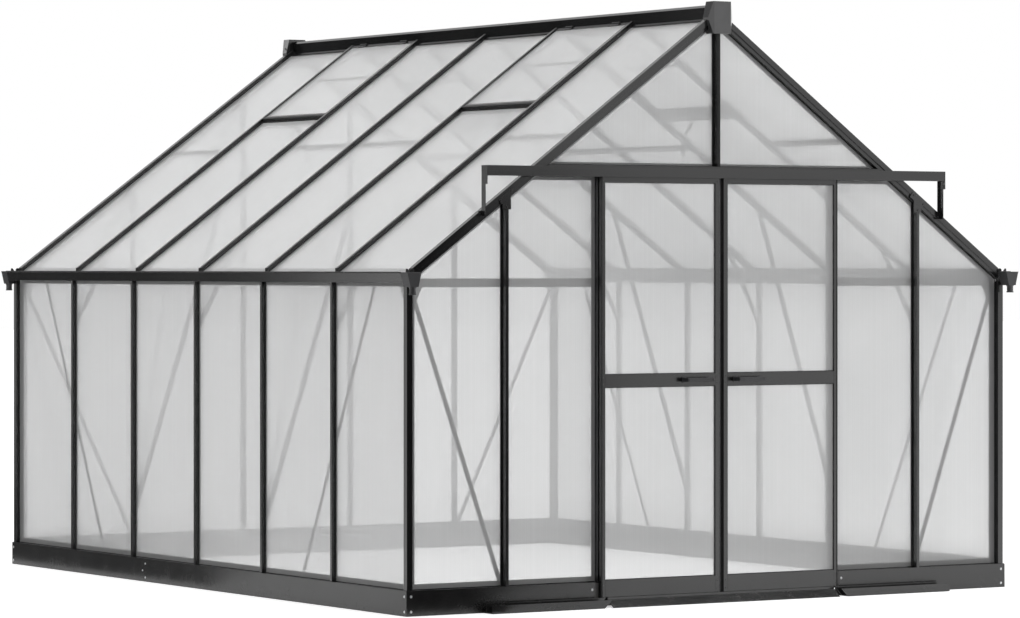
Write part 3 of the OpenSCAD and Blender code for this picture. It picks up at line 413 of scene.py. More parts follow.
def moulded(name, colour, rough=0.42, lacquer=0.0):
    """Grained moulded plastic, with a clear lacquer where it has one."""
    finish, tree, shader, place = new_finish(name)
    grain = use_group(tree, GRAIN, {"Place": place})
    splash = use_group(tree, SPLASH, {"Place": place}, Reach=0.3)
    skin = shaded(tree, colour, grain["Tone"])
    skin = tinted(tree, skin, splash["Mask"], 0.3, (0.2, 0.19, 0.17))
    dress(tree, shader, skin, lifted(tree, rough - 0.1, grain["Tone"], 0.1))
    shader.inputs["Coat Weight"].default_value = lacquer
    shader.inputs["Coat Roughness"].default_value = 0.12
    raise_skin(tree, shader, grain["Height"], 0.3, 0.00015)
    return finish


def zinc_plate(name):
    """Bright zinc plate on screws and bolts, a little dulled."""
    finish, tree, shader, place = new_finish(name)
    cloud = noise(tree, place, 420.0, 3.0)
    fine = noise(tree, place, 3800.0, 1.0)
    plate_tone = blend_colour(tree, cloud, (0.62, 0.63, 0.64), (0.78, 0.79, 0.8))
    dress(tree, shader, plate_tone, lifted(tree, 0.2, cloud, 0.2))
    shader.inputs["Metallic"].default_value = 1.0
    raise_skin(tree, shader, fine, 0.2, 0.00005)
    return finish


def gasket_rubber(name):
    """Black rubber of beads, seals and tyres."""
    finish, tree, shader, place = new_finish(name)
    grain = use_group(tree, GRAIN, {"Place": place}, Size=2200.0)
    bloom = noise(tree, place, 26.0, 4.0)
    skin = shaded(tree, (0.012, 0.012, 0.012), grain["Tone"])
    skin = blend_colour(tree, spread(tree, bloom, 0.5, 0.8, 0.0, 0.25), skin, (0.05, 0.05, 0.05))
    dress(tree, shader, skin, lifted(tree, 0.5, bloom, 0.2))
    shader.inputs["Specular IOR Level"].default_value = 0.3
    raise_skin(tree, shader, grain["Height"], 0.25, 0.0001)
    return finish


def brush_pile(name):
    """Dense grey pile of the brush strips of the doorway."""
    finish, tree, shader, place = new_finish(name)
    hairs = noise(tree, place, 1.0, 1.0, 0.5, (60.0, 60.0, 4200.0))
    tufts = noise(tree, place, 260.0, 2.0)
    shade = spread(tree, lifted(tree, hairs, tufts, 0.6), 0.5, 1.1)
    pile = blend_colour(tree, shade, (0.03, 0.03, 0.032), (0.16, 0.16, 0.165))
    dress(tree, shader, pile, spread(tree, hairs, 0.2, 0.8, 0.75, 0.95))
    raise_skin(tree, shader, hairs, 0.6, 0.0004)
    return finish


FRAME_TONE = (0.0035, 0.0035, 0.0037)
BASE_TONE = (0.0050, 0.0050, 0.0052)
FRAME_UP = powder_coat("frame_upright", FRAME_TONE, "up")
FRAME_BACK = powder_coat("frame_lengthwise", FRAME_TONE, "back", shine=0.6)
FRAME_ACROSS = powder_coat("frame_crosswise", FRAME_TONE, "across")
FRAME_ROOF = powder_coat("frame_sloping", FRAME_TONE, "roof")
BASE_LONG = powder_coat("base_lengthwise", BASE_TONE, "back", rough=0.15, dust=0.08, shine=0.56)
BASE_WIDE = powder_coat("base_crosswise", BASE_TONE, "across", rough=0.15, dust=0.08, shine=0.74)
# The gable post's copy of the frame coat has less shine, more roughness and no dust, so that it
# reads darker: painted shade for the post set back under the rakes.
FRAME_PAINTED_SHADE = powder_coat("frame_gable_post_painted_shade", FRAME_TONE, "up", rough=0.2, dust=0.0, shine=0.3)
# The three sheets are one polycarbonate: their milk tones differ a little as painted shade and
# light, for the different light on the side walls, the roof and the ends.
SHEET_SIDE = twin_wall("sheet_side", "Y", cover=0.58, milk_and_shade_tone=0.785)
SHEET_ROOF = twin_wall("sheet_roof", "Y", cover=0.64, milk_and_shade_tone=0.80)
SHEET_END = twin_wall("sheet_end", "X", cover=0.46, milk_and_shade_tone=0.79)
SHEETS = (SHEET_SIDE, SHEET_ROOF, SHEET_END)
MOULDING = moulded("moulded_plastic", (0.026, 0.026, 0.028))
CAP_PLASTIC = moulded("ridge_cap_plastic", (0.024, 0.024, 0.025), rough=0.3, lacquer=1.0)
ZINC = zinc_plate("zinc_plate")
BLACK_FIXING = moulded("blackened_fixing", (0.014, 0.014, 0.015), rough=0.36)
RUBBER = gasket_rubber("gasket_rubber")
PILE = brush_pile("brush_pile")

FINISHES = (
    (BASE_LONG, "base_left base_right"),
    (BASE_WIDE, "base_front base_back"),
    (FRAME_BACK, "eave_left eave_right gutter_left gutter_right ridge_beam purlins"),
    (FRAME_ACROSS, "door_header door_track door_guides threshold transoms sills gussets"),
    (FRAME_ROOF, "roof_bars_left roof_bars_right rakes_front rakes_back vent_frames"),
    # The king post takes the darker copy of the frame coat, as painted shade
    (FRAME_PAINTED_SHADE, "king_post"),
    (SHEET_SIDE, "wall_panels_left wall_panels_right"),
    (SHEET_ROOF, "roof_panels_left roof_panels_right vent_panes"),
    (SHEET_END, "wall_panels_back wall_panels_front gable_panels door_left_panes door_right_panes"),
    (CAP_PLASTIC, "ridge_caps"),
    (MOULDING, "gutter_ends door_left_handle door_right_handle"),
    (MOULDING, "door_left_rollers door_right_rollers"),
)
FINISH_OF = {name: finish for finish, names in FINISHES for name in names.split()}

for name, piece in nodes.items():
    finish = FINISH_OF.get(name, FRAME_UP)
    if piece.material_slots:
        for seat in piece.material_slots:
            seat.material = finish
    else:
        piece.data.materials.append(finish)
    weld = piece.modifiers.new("close_seams", "WELD")
    weld.merge_threshold = 0.00001
    if finish not in SHEETS:
        rounder = name == "ridge_caps"
        plain = piece.modifiers.new("plain_faces", "DECIMATE")
        plain.decimate_type = "DISSOLVE"
        plain.angle_limit = math.radians(1.0)
        arris = piece.modifiers.new("soft_arris", "BEVEL")
        arris.limit_method = "ANGLE"
        arris.angle_limit = math.radians(35)
        arris.width = 0.0022 if rounder else 0.0006
        arris.segments = 3 if rounder else 2
        arris.use_clamp_overlap = True
        arris.harden_normals = True


# ---------- mesh work for the small pieces ----------

def place_piece(name, mesh, finish, body="building", smooth=32):
    """Makes a piece from a mesh in work and lets it ride on its body."""
    bmesh.ops.recalc_face_normals(mesh, faces=mesh.faces)
    data = bpy.data.meshes.new(name)
    mesh.to_mesh(data)
    mesh.free()
    data.materials.append(finish)
    data.shade_smooth()
    data.set_sharp_from_angle(angle=math.radians(smooth))
    piece = bpy.data.objects.new(name, data)
    bpy.context.scene.collection.objects.link(piece)
    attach(piece, body)


def faced(at, axis, roll=0.0):
    """Stands a small fitting at a point with its own Z along an axis."""
    turn = Vector(axis).normalized().to_track_quat("Z", "Y").to_matrix().to_4x4()
    return Matrix.Translation(Vector(at)) @ turn @ Matrix.Rotation(roll, 4, "Z")


def turned(mesh, where, profile, steps, outline=None):
    """Turns a profile of (radius, height) about the Z of a matrix.
    outline(k, angle) may scale ring number k, as for a hexagon or a cross."""
    rings = []
    for k, (radius, height) in enumerate(profile):
        if radius == 0:
            rings.append([mesh.verts.new(where @ Vector((0, 0, height)))])
            continue
        ring = []
        for i in range(steps):
            a = 2 * math.pi * i / steps
            r = radius * (outline(k, a) if outline else 1.0)
            ring.append(mesh.verts.new(where @ Vector((r * math.cos(a), r * math.sin(a), height))))
        rings.append(ring)
    for low, high in zip(rings, rings[1:]):
        if len(low) == 1 and len(high) == 1:
            continue
        for i in range(steps):
            j = (i + 1) % steps
            if len(low) == 1:
                mesh.faces.new((low[0], high[i], high[j]))
            elif len(high) == 1:
                mesh.faces.new((low[i], low[j], high[0]))
            else:
                mesh.faces.new((low[i], low[j], high[j], high[i]))


def hexagon(angle):
    """Outline of a hexagon, one across its flats."""
    return 1.0 / math.cos((angle + math.pi / 6) % (math.pi / 3) - math.pi / 6)


def cross(angle):
    """Outline of a cross recess: long along its four arms."""
    away = abs((angle + math.pi / 4) % (math.pi / 2) - math.pi / 4)
    return 1.0 if away < 0.2 else 0.36


def pan_screw(mesh, at, axis, r=0.0042):
    """Pan head screw on a thin washer, with a cross recess."""
    profile = [(0, 0), (1.28, 0), (1.28, 0.14), (1.2, 0.2), (1, 0.2), (1, 0.34), (0.93, 0.54),
               (0.76, 0.68), (0.62, 0.74), (0.52, 0.76), (0.44, 0.4), (0, 0.34)]
    turned(mesh, faced(at, axis, 0.4), [(r * out, r * up) for out, up in profile], 32,
           lambda k, a: cross(a) if k in (9, 10) else 1.0)


def hex_bolt(mesh, at, axis, across, high=0.0042):
    """Hexagon head with a chamfered crown on a round washer."""
    r, w = across / 2, across * 0.82
    profile = [(0, 0), (w, 0), (w, 0.0008), (w * 0.96, 0.0011), (r, 0.0011), (r, high * 0.8),
               (r * 0.93, high), (r * 0.78, high * 1.03), (0, high * 0.99)]
    turned(mesh, faced(at, axis), profile, 24, lambda k, a: hexagon(a) if k in (4, 5) else 1.0)


def hex_nut(mesh, at, axis, across, high=0.005):
    """Hexagon nut on a washer with the bolt's end standing out of it."""
    r, w = across / 2, across * 0.82
    profile = [(0, 0), (w, 0), (w, 0.0009), (r, 0.0009), (r, high * 0.85), (r * 0.92, high),
               (r * 0.62, high), (r * 0.56, high * 0.94), (r * 0.54, high * 1.3),
               (r * 0.46, high * 1.42), (0, high * 1.42)]
    turned(mesh, faced(at, axis, 0.3), profile, 24,
           lambda k, a: hexagon(a) if k in (3, 4) else 1.0)


def strip(mesh, start, end, side, out, section):
    """Runs a closed section of (across, outwards) points straight from start to end."""
    start, end = Vector(start), Vector(end)
    side, out = Vector(side).normalized(), Vector(out).normalized()
    rings = [[mesh.verts.new(p + side * a + out * b) for a, b in section] for p in (start, end)]
    n = len(section)
    for i in range(n):
        j = (i + 1) % n
        mesh.faces.new((rings[0][i], rings[0][j], rings[1][j], rings[1][i]))
    mesh.faces.new(rings[0][::-1])
    mesh.faces.new(rings[1])


def upright(mesh, x, y, low, high, out, section):
    """Runs a section straight up, proud of a face that looks along X or along Y."""
    strip(mesh, (x, y, low), (x, y, high), ALONG if out[0] else ACROSS, out, section)


def bay_strips(mesh, sign, x, section, past_vents):
    """Runs a section lengthwise on a roof slope, in every bay or only where there is no vent."""
    seat = Vector((sign * x, 0, roof_z(x, SHEET_DEPTH)))
    for a, b in zip(BAY_EDGES, BAY_EDGES[1:]):
        if past_vents or not has_vent((a + b) / 2):
            strip(mesh, seat + ALONG * (a + BAR_CLEAR), seat + ALONG * (b - BAR_CLEAR),
                  *slope_axes(sign), section)


def plate(mesh, corner, other, ease):
    """Small plate with eased edges, square to the axes, between two opposite corners."""
    made = bmesh.ops.create_cube(mesh, size=1.0)
    for v in made["verts"]:
        v.co = Vector(max(a, b) if half > 0 else min(a, b)
                      for a, b, half in zip(corner, other, v.co))
    edges = {e for v in made["verts"] for e in v.link_edges}
    bmesh.ops.bevel(mesh, geom=list(edges), offset=ease, segments=2, affect="EDGES", profile=0.6)


def bead_section(width, high):
    """Low rounded bead, flat on its seat."""
    return [(-width / 2, 0), (width / 2, 0), (width * 0.48, high * 0.45),
            (width * 0.34, high * 0.82), (0, high), (-width * 0.34, high * 0.82),
            (-width * 0.48, high * 0.45)]


# ---------- glazing beads ----------

BEAD = bead_section(0.0026, 0.0022)
BEAD_SEAT = 0.0014
BEAD_AT = FLANGE + BEAD_SEAT
BEAD_FOOT = BASE_TOP + 0.004
POST_BEADS = [FRONT + POST + BEAD_SEAT, BACK - POST - BEAD_SEAT]


def beside(bars):
    """Places of the beads on both sides of each bar."""
    return [bar + s * BEAD_AT for bar in bars for s in (-1, 1)]


def wall_beads():
    """Rubber beads beside every flange of the side walls."""
    top = 1.357
    for sign, name in SIDES:
        mesh = bmesh.new()
        for y in beside(BARS) + POST_BEADS:
            upright(mesh, sign * SHEET_X, y, BEAD_FOOT, top, ACROSS * sign, BEAD)
        place_piece("wall_beads_" + name, mesh, RUBBER)


def end_beads():
    """Beads on the front and back walls: beside the uprights and under the rakes."""
    header_z, header_half = 1.8514, 0.845
    rake_x, rake_foot_x, rake_seat = 0.030, 1.5125, 0.0412
    front, back = bmesh.new(), bmesh.new()
    for mesh, y, out, bars in ((front, SHEET_FRONT, -ALONG, [STUD_X]),
                               (back, SHEET_BACK, ALONG, BACK_BARS)):
        for sign in (-1, 1):
            for x in beside(bars) + [POST_INNER - BEAD_SEAT]:
                upright(mesh, sign * x, y, BEAD_FOOT, roof_z(x, RAKE_DEPTH), out, BEAD)
            strip(mesh, (sign * rake_x, y, roof_z(rake_x, rake_seat)),
                  (sign * rake_foot_x, y, roof_z(rake_foot_x, rake_seat)),
                  slope_axes(sign)[1], out, BEAD)
    for sign in (-1, 1):
        upright(front, sign * BEAD_AT, SHEET_FRONT, header_z + 0.0001, roof_z(0.0278, RAKE_DEPTH),
                -ALONG, BEAD)
    strip(front, (-header_half, SHEET_FRONT, header_z), (header_half, SHEET_FRONT, header_z),
          UP, -ALONG, BEAD)
    place_piece("front_wall_beads", front, RUBBER)
    place_piece("back_wall_beads", back, RUBBER)


def roof_beads():
    """Beads beside the roof bars and the rakes, from the ridge or the vent down to the gutter."""
    ridge_edge, vent_foot, eave_edge = 0.038, 0.531, 1.528
    for sign, name in SIDES:
        mesh = bmesh.new()
        out = slope_axes(sign)[1]
        foot_z = roof_z(eave_edge, SHEET_DEPTH)
        rows = [(y, ridge_edge) for y in POST_BEADS]
        for bar in BARS:
            for s in (-1, 1):
                start = vent_foot if has_vent(bar + s * BAY / 2) else ridge_edge
                rows.append((bar + s * BEAD_AT, start))
        for y, x in rows:
            strip(mesh, (sign * x, y, roof_z(x, SHEET_DEPTH)), (sign * eave_edge, y, foot_z),
                  ALONG, out, BEAD)
        place_piece("roof_beads_" + name, mesh, RUBBER)


def foot_trims():
    """Folded closers over the lower edges of the roof sheets, above the gutters."""
    fold = [(-0.009, 0.0002), (-0.009, 0.0009), (0.0012, 0.0009), (0.0012, -0.0066),
            (-0.0012, -0.0066), (-0.0012, -0.0061), (0.0004, -0.0061), (0.0004, 0.0002)]
    for sign, name in SIDES:
        mesh = bmesh.new()
        bay_strips(mesh, sign, 1.530, fold, past_vents=True)
        place_piece("sheet_closers_" + name, mesh, FRAME_BACK)


# ---------- fixings ----------

def base_fixings():
    """Screws at the corners of the base, at the splices and beside the doorway."""
    mesh = bmesh.new()
    splice = ((0.469, 0.082), (0.495, 0.050), (0.469, 0.019))
    for sign in (-1, 1):
        for z in (BASE_TOP - 0.024, 0.019):
            pan_screw(mesh, (sign * (BASE_X - 0.022), BASE_FRONT, z), -ALONG)
            pan_screw(mesh, (sign * (BASE_X - 0.022), BASE_BACK, z), ALONG)
            for y in (BASE_FRONT + 0.016, BASE_BACK - 0.016):
                pan_screw(mesh, (sign * BASE_X, y, z), ACROSS * sign)
        for y, z in splice:
            pan_screw(mesh, (sign * BASE_X, y, z), ACROSS * sign, 0.0036)
        pan_screw(mesh, (sign * 0.645, BASE_FRONT, 0.0745), -ALONG)
    place_piece("base_screws", mesh, ZINC)


def bracket_fixings():
    """Screws in the plates at the heads of the front studs and at the ends of the track."""
    mesh = bmesh.new()
    plate_face = FRONT - 0.0032
    stud_head = ((1.093, 1.698), (1.042, 1.738), (1.063, 1.672))
    track_end = ((1.1752, 1.6434), (1.1945, 1.6434))
    wall_plate = [(x, TRACK_Z + 0.026) for x in (0.25, 0.55, 0.95)]
    for places, size in ((stud_head, 0.0034), (track_end, 0.003), (wall_plate, 0.0032)):
        for x, z in places:
            for sign in (-1, 1):
                pan_screw(mesh, (sign * x, plate_face, z), -ALONG, size)
    place_piece("bracket_screws", mesh, BLACK_FIXING)


def base_closers():
    """Cover strips that close the face of the front base from its end to the doorway."""
    mesh = bmesh.new()
    for sign in (-1, 1):
        plate(mesh, (sign * 0.6126, BASE_FRONT + 0.0004, 0.0004),
              (sign * 0.6319, BASE_FRONT + 0.0024, BASE_TOP - 0.0005), 0.0003)
    place_piece("base_closers", mesh, MOULDING)


def rake_feet():
    """Round black plugs that close the lower ends of the rakes and the roof bars."""
    mesh = bmesh.new()
    face, plug_x = POST_INNER + 0.0001, 1.5195
    plug = [(0, 0), (0.0088, 0), (0.0096, 0.0012), (0.0096, 0.0068), (0.0088, 0.0078),
            (0.0045, 0.0082), (0.0040, 0.0066), (0, 0.0062)]
    for sign in (-1, 1):
        for end, y in ((-1, FRONT + 0.0135), (1, BACK - 0.0135)):
            plate(mesh, (sign * face, y - 0.0128, roof_z(POST_INNER, 0.036)),
                  (sign * 1.5175, y + 0.0128, roof_z(POST_INNER, 0.002)), 0.0012)
            centre = (sign * plug_x, y + end * 0.0125, roof_z(plug_x, 0.006))
            turned(mesh, faced(centre, ALONG * end), plug, 28)
        for y in BARS:
            plate(mesh, (sign * face, y - 0.0077, roof_z(POST_INNER, 0.0152)),
                  (sign * 1.5162, y + 0.0077, roof_z(POST_INNER, -0.0003)), 0.0007)
    place_piece("rake_and_bar_plugs", mesh, RUBBER)


def inside_bolts():
    """Hexagon bolts in the gussets, braces, knee braces and struts."""
    gusset, brace, strut = bmesh.new(), bmesh.new(), bmesh.new()
    size = 0.009
    wall_x, wall_y, gusset_z = 1.511, 0.037, 1.325
    brace_foot, side_top, end_top = 0.105, 1.344, 1.340
    side_start, end_start = 1.5385, 1.504
    # Slope and foot height of a knee brace and of a long strut, which take turns along the walls
    knee_brace, long_strut = (1.95, 1.165), (3.165, 0.339)
    for sign in (-1, 1):
        for end, y, bar_x in ((1, FRONT + wall_y, STUD_X), (-1, BACK - wall_y, BACK_BARS[1])):
            for x in (1.497, 1.468):
                hex_bolt(gusset, (sign * x, y, gusset_z), ALONG * end, size)
            for run in (0.014, 0.043):
                hex_bolt(gusset, (sign * wall_x, y + end * run, gusset_z), ACROSS * -sign, size)
            for z in (0.150, 1.255):
                fall = (end_top - z) / (end_top - brace_foot)
                x = end_start + (bar_x + 0.005 - end_start) * fall
                hex_bolt(brace, (sign * x, y, z), ALONG * end, size)
            for part in (0.035, 0.965):
                y = MIDDLE + end * (side_start - BAY * part)
                z = side_top - (side_top - brace_foot) * part
                hex_bolt(brace, (sign * wall_x, y, z), ACROSS * -sign, size)
        for k, y in enumerate(BARS):
            rise, foot = (knee_brace, long_strut)[k % 2]
            meeting_x = (foot + POST_INNER * rise - roof_z(0, 0.042)) / (rise - SLOPE)
            for x in (1.500, meeting_x + 0.012):
                z = foot + (POST_INNER - x) * rise
                hex_bolt(strut, (sign * x, y - 0.006, z), -ALONG, size)
                hex_nut(strut, (sign * x, y + 0.006, z), ALONG, size)
    place_piece("gusset_bolts", gusset, ZINC)
    place_piece("brace_bolts", brace, ZINC)
    place_piece("strut_bolts", strut, ZINC)


def purlin_cleats():
    """Small angle cleats that carry the purlins on the ribs of the roof bars."""
    cleats, bolts = bmesh.new(), bmesh.new()
    purlin_x, purlin_seat, last_end = 0.700, 0.0391, 1.8093
    section = [(-0.008, 0), (0.008, 0), (0.008, 0.0016), (-0.008, 0.0016)]
    for sign in (-1, 1):
        down, out = slope_axes(sign)
        for k in range(6):
            middle = (k - 2.5) * BAY
            if has_vent(MIDDLE + middle):
                continue
            for s in (-1, 1):
                end = middle + s * (BAY / 2 - 0.0077)
                y = MIDDLE + max(-last_end, min(last_end, end))
                root = Vector((sign * purlin_x, y, roof_z(purlin_x, purlin_seat)))
                strip(cleats, root, root - ALONG * s * 0.026, down, -out, section)
                hex_bolt(bolts, root - ALONG * s * 0.016 - out * 0.0016, -out, 0.007, 0.003)
    place_piece("purlin_cleats", cleats, FRAME_BACK)
    place_piece("purlin_bolts", bolts, ZINC)


# ---------- roof vents ----------

def vent_hardware():
    """Hinge knuckles under the ridge, drip strip at the foot and pins in the stays."""
    hinges, pins, drips = bmesh.new(), bmesh.new(), bmesh.new()
    hinge_x, hinge_half, lip_x = 0.0325, 0.030, 0.5262
    knuckle = [(0, 0), (0.0032, 0), (0.0038, 0.0006), (0.0038, 0.0188), (0.0032, 0.0194),
               (0, 0.0194)]
    hinge_leaf = [(-0.004, 0), (0.015, 0), (0.015, 0.0014), (-0.004, 0.0014)]
    drip = [(-0.008, 0.0002), (0.0035, 0.0002), (0.0048, -0.0075), (0.0060, -0.0075),
            (0.0050, 0.0012), (-0.008, 0.0012)]
    drip_half = BAY / 2 - 0.0095
    stay_head = roof_z(0.515, 0.042)
    # Each pin's place from the ridge, its drop below the stay's head and half the stay's width
    stay_pins = ((0.5135, 0.006, 0.003), (0.4636, 0.0806, 0.006), (0.4440, 0.168, 0.006))
    for sign in (-1, 1):
        down, out = slope_axes(sign)
        for middle in VENT_BAYS:
            for y in (middle - 0.19, middle + 0.19):
                start = Vector((sign * hinge_x, y - hinge_half, roof_z(hinge_x, -0.0012)))
                for k in range(3):
                    turned(hinges, faced(start + ALONG * 0.0203 * k, ALONG), knuckle, 18)
                leaf = start + down * 0.004
                strip(hinges, leaf - out * 0.0028, leaf - out * 0.0028 + ALONG * 2 * hinge_half,
                      down, out, hinge_leaf)
                for s in (-0.018, 0.018):
                    seat = leaf + ALONG * (hinge_half + s) + down * 0.009 - out * 0.0014
                    pan_screw(hinges, seat, out, 0.0024)
            lip = Vector((sign * lip_x, middle, roof_z(lip_x, 0.003)))
            strip(drips, lip - ALONG * drip_half, lip + ALONG * drip_half, down, out, drip)
            for x, drop, half in stay_pins:
                hex_bolt(pins, (sign * x, middle - half, stay_head - drop), -ALONG, 0.007, 0.003)
                hex_nut(pins, (sign * x, middle + half, stay_head - drop), ALONG, 0.007, 0.0035)
    place_piece("vent_hinges", hinges, BLACK_FIXING)
    place_piece("vent_drip_strips", drips, RUBBER)
    place_piece("vent_stay_pins", pins, ZINC)


# ---------- gutters and ridge ----------

def gutter_details():
    """Rolled beads on the rims, rings on the spouts and collars on the outlet boxes."""
    rims, rings = bmesh.new(), bmesh.new()
    rim_x, rim_z, spout_x = 1.5772, 1.4001, 1.543
    box_near, box_far, box_top = 1.5102, 1.5758, 1.4
    box_bead = bead_section(0.0036, 0.0022)
    spout_ring = [(0.0116, 0), (0.0150, 0), (0.0158, 0.0009), (0.0158, 0.0038), (0.0150, 0.0047),
                  (0.0139, 0.0052)]
    collar = [(0.0139, -0.002), (0.0156, 0), (0.0172, 0.0040), (0.0138, 0.0041)]
    for sign in (-1, 1):
        strip(rims, (sign * rim_x, FRONT - 0.0075, rim_z), (sign * rim_x, BACK + 0.0075, rim_z),
              ACROSS * sign, UP, bead_section(0.0076, 0.0042))
        for end, wall in ((-1, FRONT), (1, BACK)):
            for z, profile in ((1.3098, spout_ring), (1.338, collar)):
                spout = Matrix.Translation(Vector((sign * spout_x, wall + end * 0.048, z)))
                turned(rings, spout, profile, 40)
            inner, outer = wall + end * 0.0085, wall + end * 0.0650
            edge = outer - end * 0.0017
            for x in (box_near, box_far):
                strip(rings, (sign * x, inner, box_top), (sign * x, outer, box_top),
                      ACROSS, UP, box_bead)
            strip(rings, (sign * box_near, edge, box_top), (sign * box_far, edge, box_top),
                  ALONG, UP, box_bead)
    place_piece("gutter_rim_beads", rims, RUBBER)
    place_piece("outlet_rings", rings, MOULDING)


def ridge_details():
    """Screws in the sides of the ridge caps and the seal strips along the ridge."""
    screws, seals = bmesh.new(), bmesh.new()
    for sign in (-1, 1):
        for y in (FRONT + 0.006, BACK - 0.006):
            for z, tilt in ((2.5070, 0.226), (2.4602, -0.226)):
                pan_screw(screws, (sign * 0.0565, y, z), (sign * 0.974, 0, tilt), 0.003)
        bay_strips(seals, sign, 0.0384, BEAD, past_vents=False)
    place_piece("ridge_cap_screws", screws, BLACK_FIXING)
    place_piece("ridge_seals", seals, RUBBER)


# ---------- doors ----------

def pane_gaskets(sign, body):
    """Gaskets round the two sheets of a leaf, on both faces."""
    mesh = bmesh.new()
    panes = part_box(body + "_panes")
    half = 0.0012
    x0, x1 = 0.0323 + half, 0.5917 - half
    section = bead_section(2 * half, 0.0020)
    for z0, z1 in ((0.1134, 0.9186), (0.9734, 1.7776)):
        for y, out in ((panes[0].y, -ALONG), (panes[1].y, ALONG)):
            for x in (x0, x1):
                upright(mesh, sign * x, y, z0, z1, out, section)
            for z in (z0 + half, z1 - half):
                strip(mesh, (sign * (x0 + half), y, z), (sign * (x1 - half), y, z),
                      UP, out, section)
    place_piece(body + "_gaskets", mesh, RUBBER, body)


def leaf_seals(sign, body):
    """Brush strip behind the meeting stile and rubber strips down both stiles."""
    pile, lips = bmesh.new(), bmesh.new()
    tufts = 260
    z0, z1 = 0.0380, 1.8080
    # Where the leaves meet, one brush passes behind the other
    near, far = (0.0024, 0.0014) if sign < 0 else (0.0012, 0.0002)
    rows = []
    for k in range(tufts + 1):
        z = z0 + (z1 - z0) * k / tufts
        tip = -0.0005 if k % 2 else -0.0010
        outline = ((0.0026, near), (tip, near - 0.0002), (tip, far + 0.0002), (0.0026, far))
        rows.append([pile.verts.new((sign * x, LEAF_REAR - deep, z)) for x, deep in outline])
    for a, b in zip(rows, rows[1:]):
        for i in range(4):
            j = (i + 1) % 4
            pile.faces.new((a[i], a[j], b[j], b[i]))
    pile.faces.new(rows[0][::-1])
    pile.faces.new(rows[-1])
    place_piece(body + "_brush", pile, PILE, body, smooth=20)
    for x, deep, out, width, high in (
            (0.0118, 0.0035, ACROSS * -sign, 0.0042, 0.0026),
            (0.0118, 0.0085, ACROSS * -sign, 0.0030, 0.0020),
            (0.0090, 0.0109, -ALONG, 0.0050, 0.0012), (0.6080, 0.0001, -ALONG, 0.0066, 0.0009)):
        upright(lips, sign * x, LEAF_FACE + deep, 0.0365, 1.8095, out, bead_section(width, high))
    place_piece(body + "_stile_seal", lips, RUBBER, body)


def leaf_hardware(sign, body):
    """Corner screws, handle roses, wheel hubs, tyres and hanger bolts of one leaf."""
    screws, roses, hubs, tyres = bmesh.new(), bmesh.new(), bmesh.new(), bmesh.new()
    for x in (0.022, 0.602):
        for z in (0.058, 0.092, 0.932, 0.960, 1.785, 1.802):
            pan_screw(screws, (sign * x, LEAF_FACE, z), -ALONG, 0.0022)
    low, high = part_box(body + "_handle")
    cap = [(0, 0.0014), (0.0036, 0.0012), (0.0050, 0.0004), (0.0054, -0.0006)]
    z = (low.z + high.z) / 2
    for x in (low.x + 0.008, high.x - 0.008):
        plate(roses, (x - 0.0115, LEAF_FACE - 0.0022, z - 0.0125),
              (x + 0.0115, LEAF_FACE + 0.0002, z + 0.0125), 0.0009)
        turned(roses, faced((x, low.y - 0.0002, z), -ALONG), cap, 24)
    for z in (low.z + 0.0042, high.z - 0.0042):
        strip(roses, (low.x + 0.012, low.y, z), (high.x - 0.012, low.y, z), UP, -ALONG,
              bead_section(0.0018, 0.0007))
    low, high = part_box(body + "_rollers")
    hub = [(0, 0.0012), (0.0022, 0.0012), (0.0026, 0.0004), (0.0046, 0.0003), (0.0052, 0.0010),
           (0.0062, 0.0010), (0.0066, 0.0002), (0.0072, -0.0004)]
    tyre = [(0.0085, 0), (0.00905, 0.0003), (0.0092, 0.0014), (0.0092, 0.0026), (0.00905, 0.0037),
            (0.0085, 0.0040)]
    z = high.z - 0.009
    for x in (0.082, 0.542):
        turned(hubs, faced((sign * x, low.y + 0.0001, z), -ALONG), hub, 32)
        hex_nut(hubs, (sign * x, high.y + 0.0001, z), ALONG, 0.008, 0.004)
        for s in (-0.010, 0.010):
            hex_bolt(hubs, (sign * (x + s), high.y + 0.0001, 1.8135), ALONG, 0.0052, 0.002)
        turned(tyres, faced((sign * x, low.y + 0.0020, z), ALONG), tyre, 40)
    place_piece(body + "_corner_screws", screws, BLACK_FIXING, body)
    place_piece(body + "_handle_roses", roses, MOULDING, body)
    place_piece(body + "_wheel_hubs", hubs, ZINC, body)
    place_piece(body + "_wheel_tyres", tyres, RUBBER, body)


def doorway_trims():
    """Ribs on the ramp and the brush in the jambs."""
    ribs, brush = bmesh.new(), bmesh.new()
    rib, rib_half = bead_section(0.0030, 0.0010), 0.575
    step_z, ramp_run = 0.031, 0.040
    ramp_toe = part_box("threshold")[0].y
    up_ramp = Vector((0, ramp_run, step_z))
    for k in range(5):
        seat = ALONG * ramp_toe + up_ramp * (0.24 + 0.16 * k)
        strip(ribs, seat - ACROSS * rib_half, seat + ACROSS * rib_half, up_ramp,
              (0, -step_z, ramp_run), rib)
    for y in (-1.850, -1.838, -1.826, -1.814):
        strip(ribs, (-rib_half, y, step_z), (rib_half, y, step_z), ALONG, UP, rib)
    for sign in (-1, 1):
        upright(brush, sign * 0.5995, FRONT - 0.0002, 0.040, 1.780, -ALONG,
                bead_section(0.0070, 0.0048))
    place_piece("ramp_ribs", ribs, RUBBER)
    place_piece("jamb_brushes", brush, PILE)


wall_beads()
end_beads()
roof_beads()
foot_trims()
base_fixings()
bracket_fixings()
base_closers()
rake_feet()
inside_bolts()
purlin_cleats()
vent_hardware()
gutter_details()
ridge_details()
doorway_trims()
for sign, name in SIDES:
    pane_gaskets(sign, "door_" + name)
    leaf_seals(sign, "door_" + name)
    leaf_hardware(sign, "door_" + name)


# ---------- floor, light and camera ----------

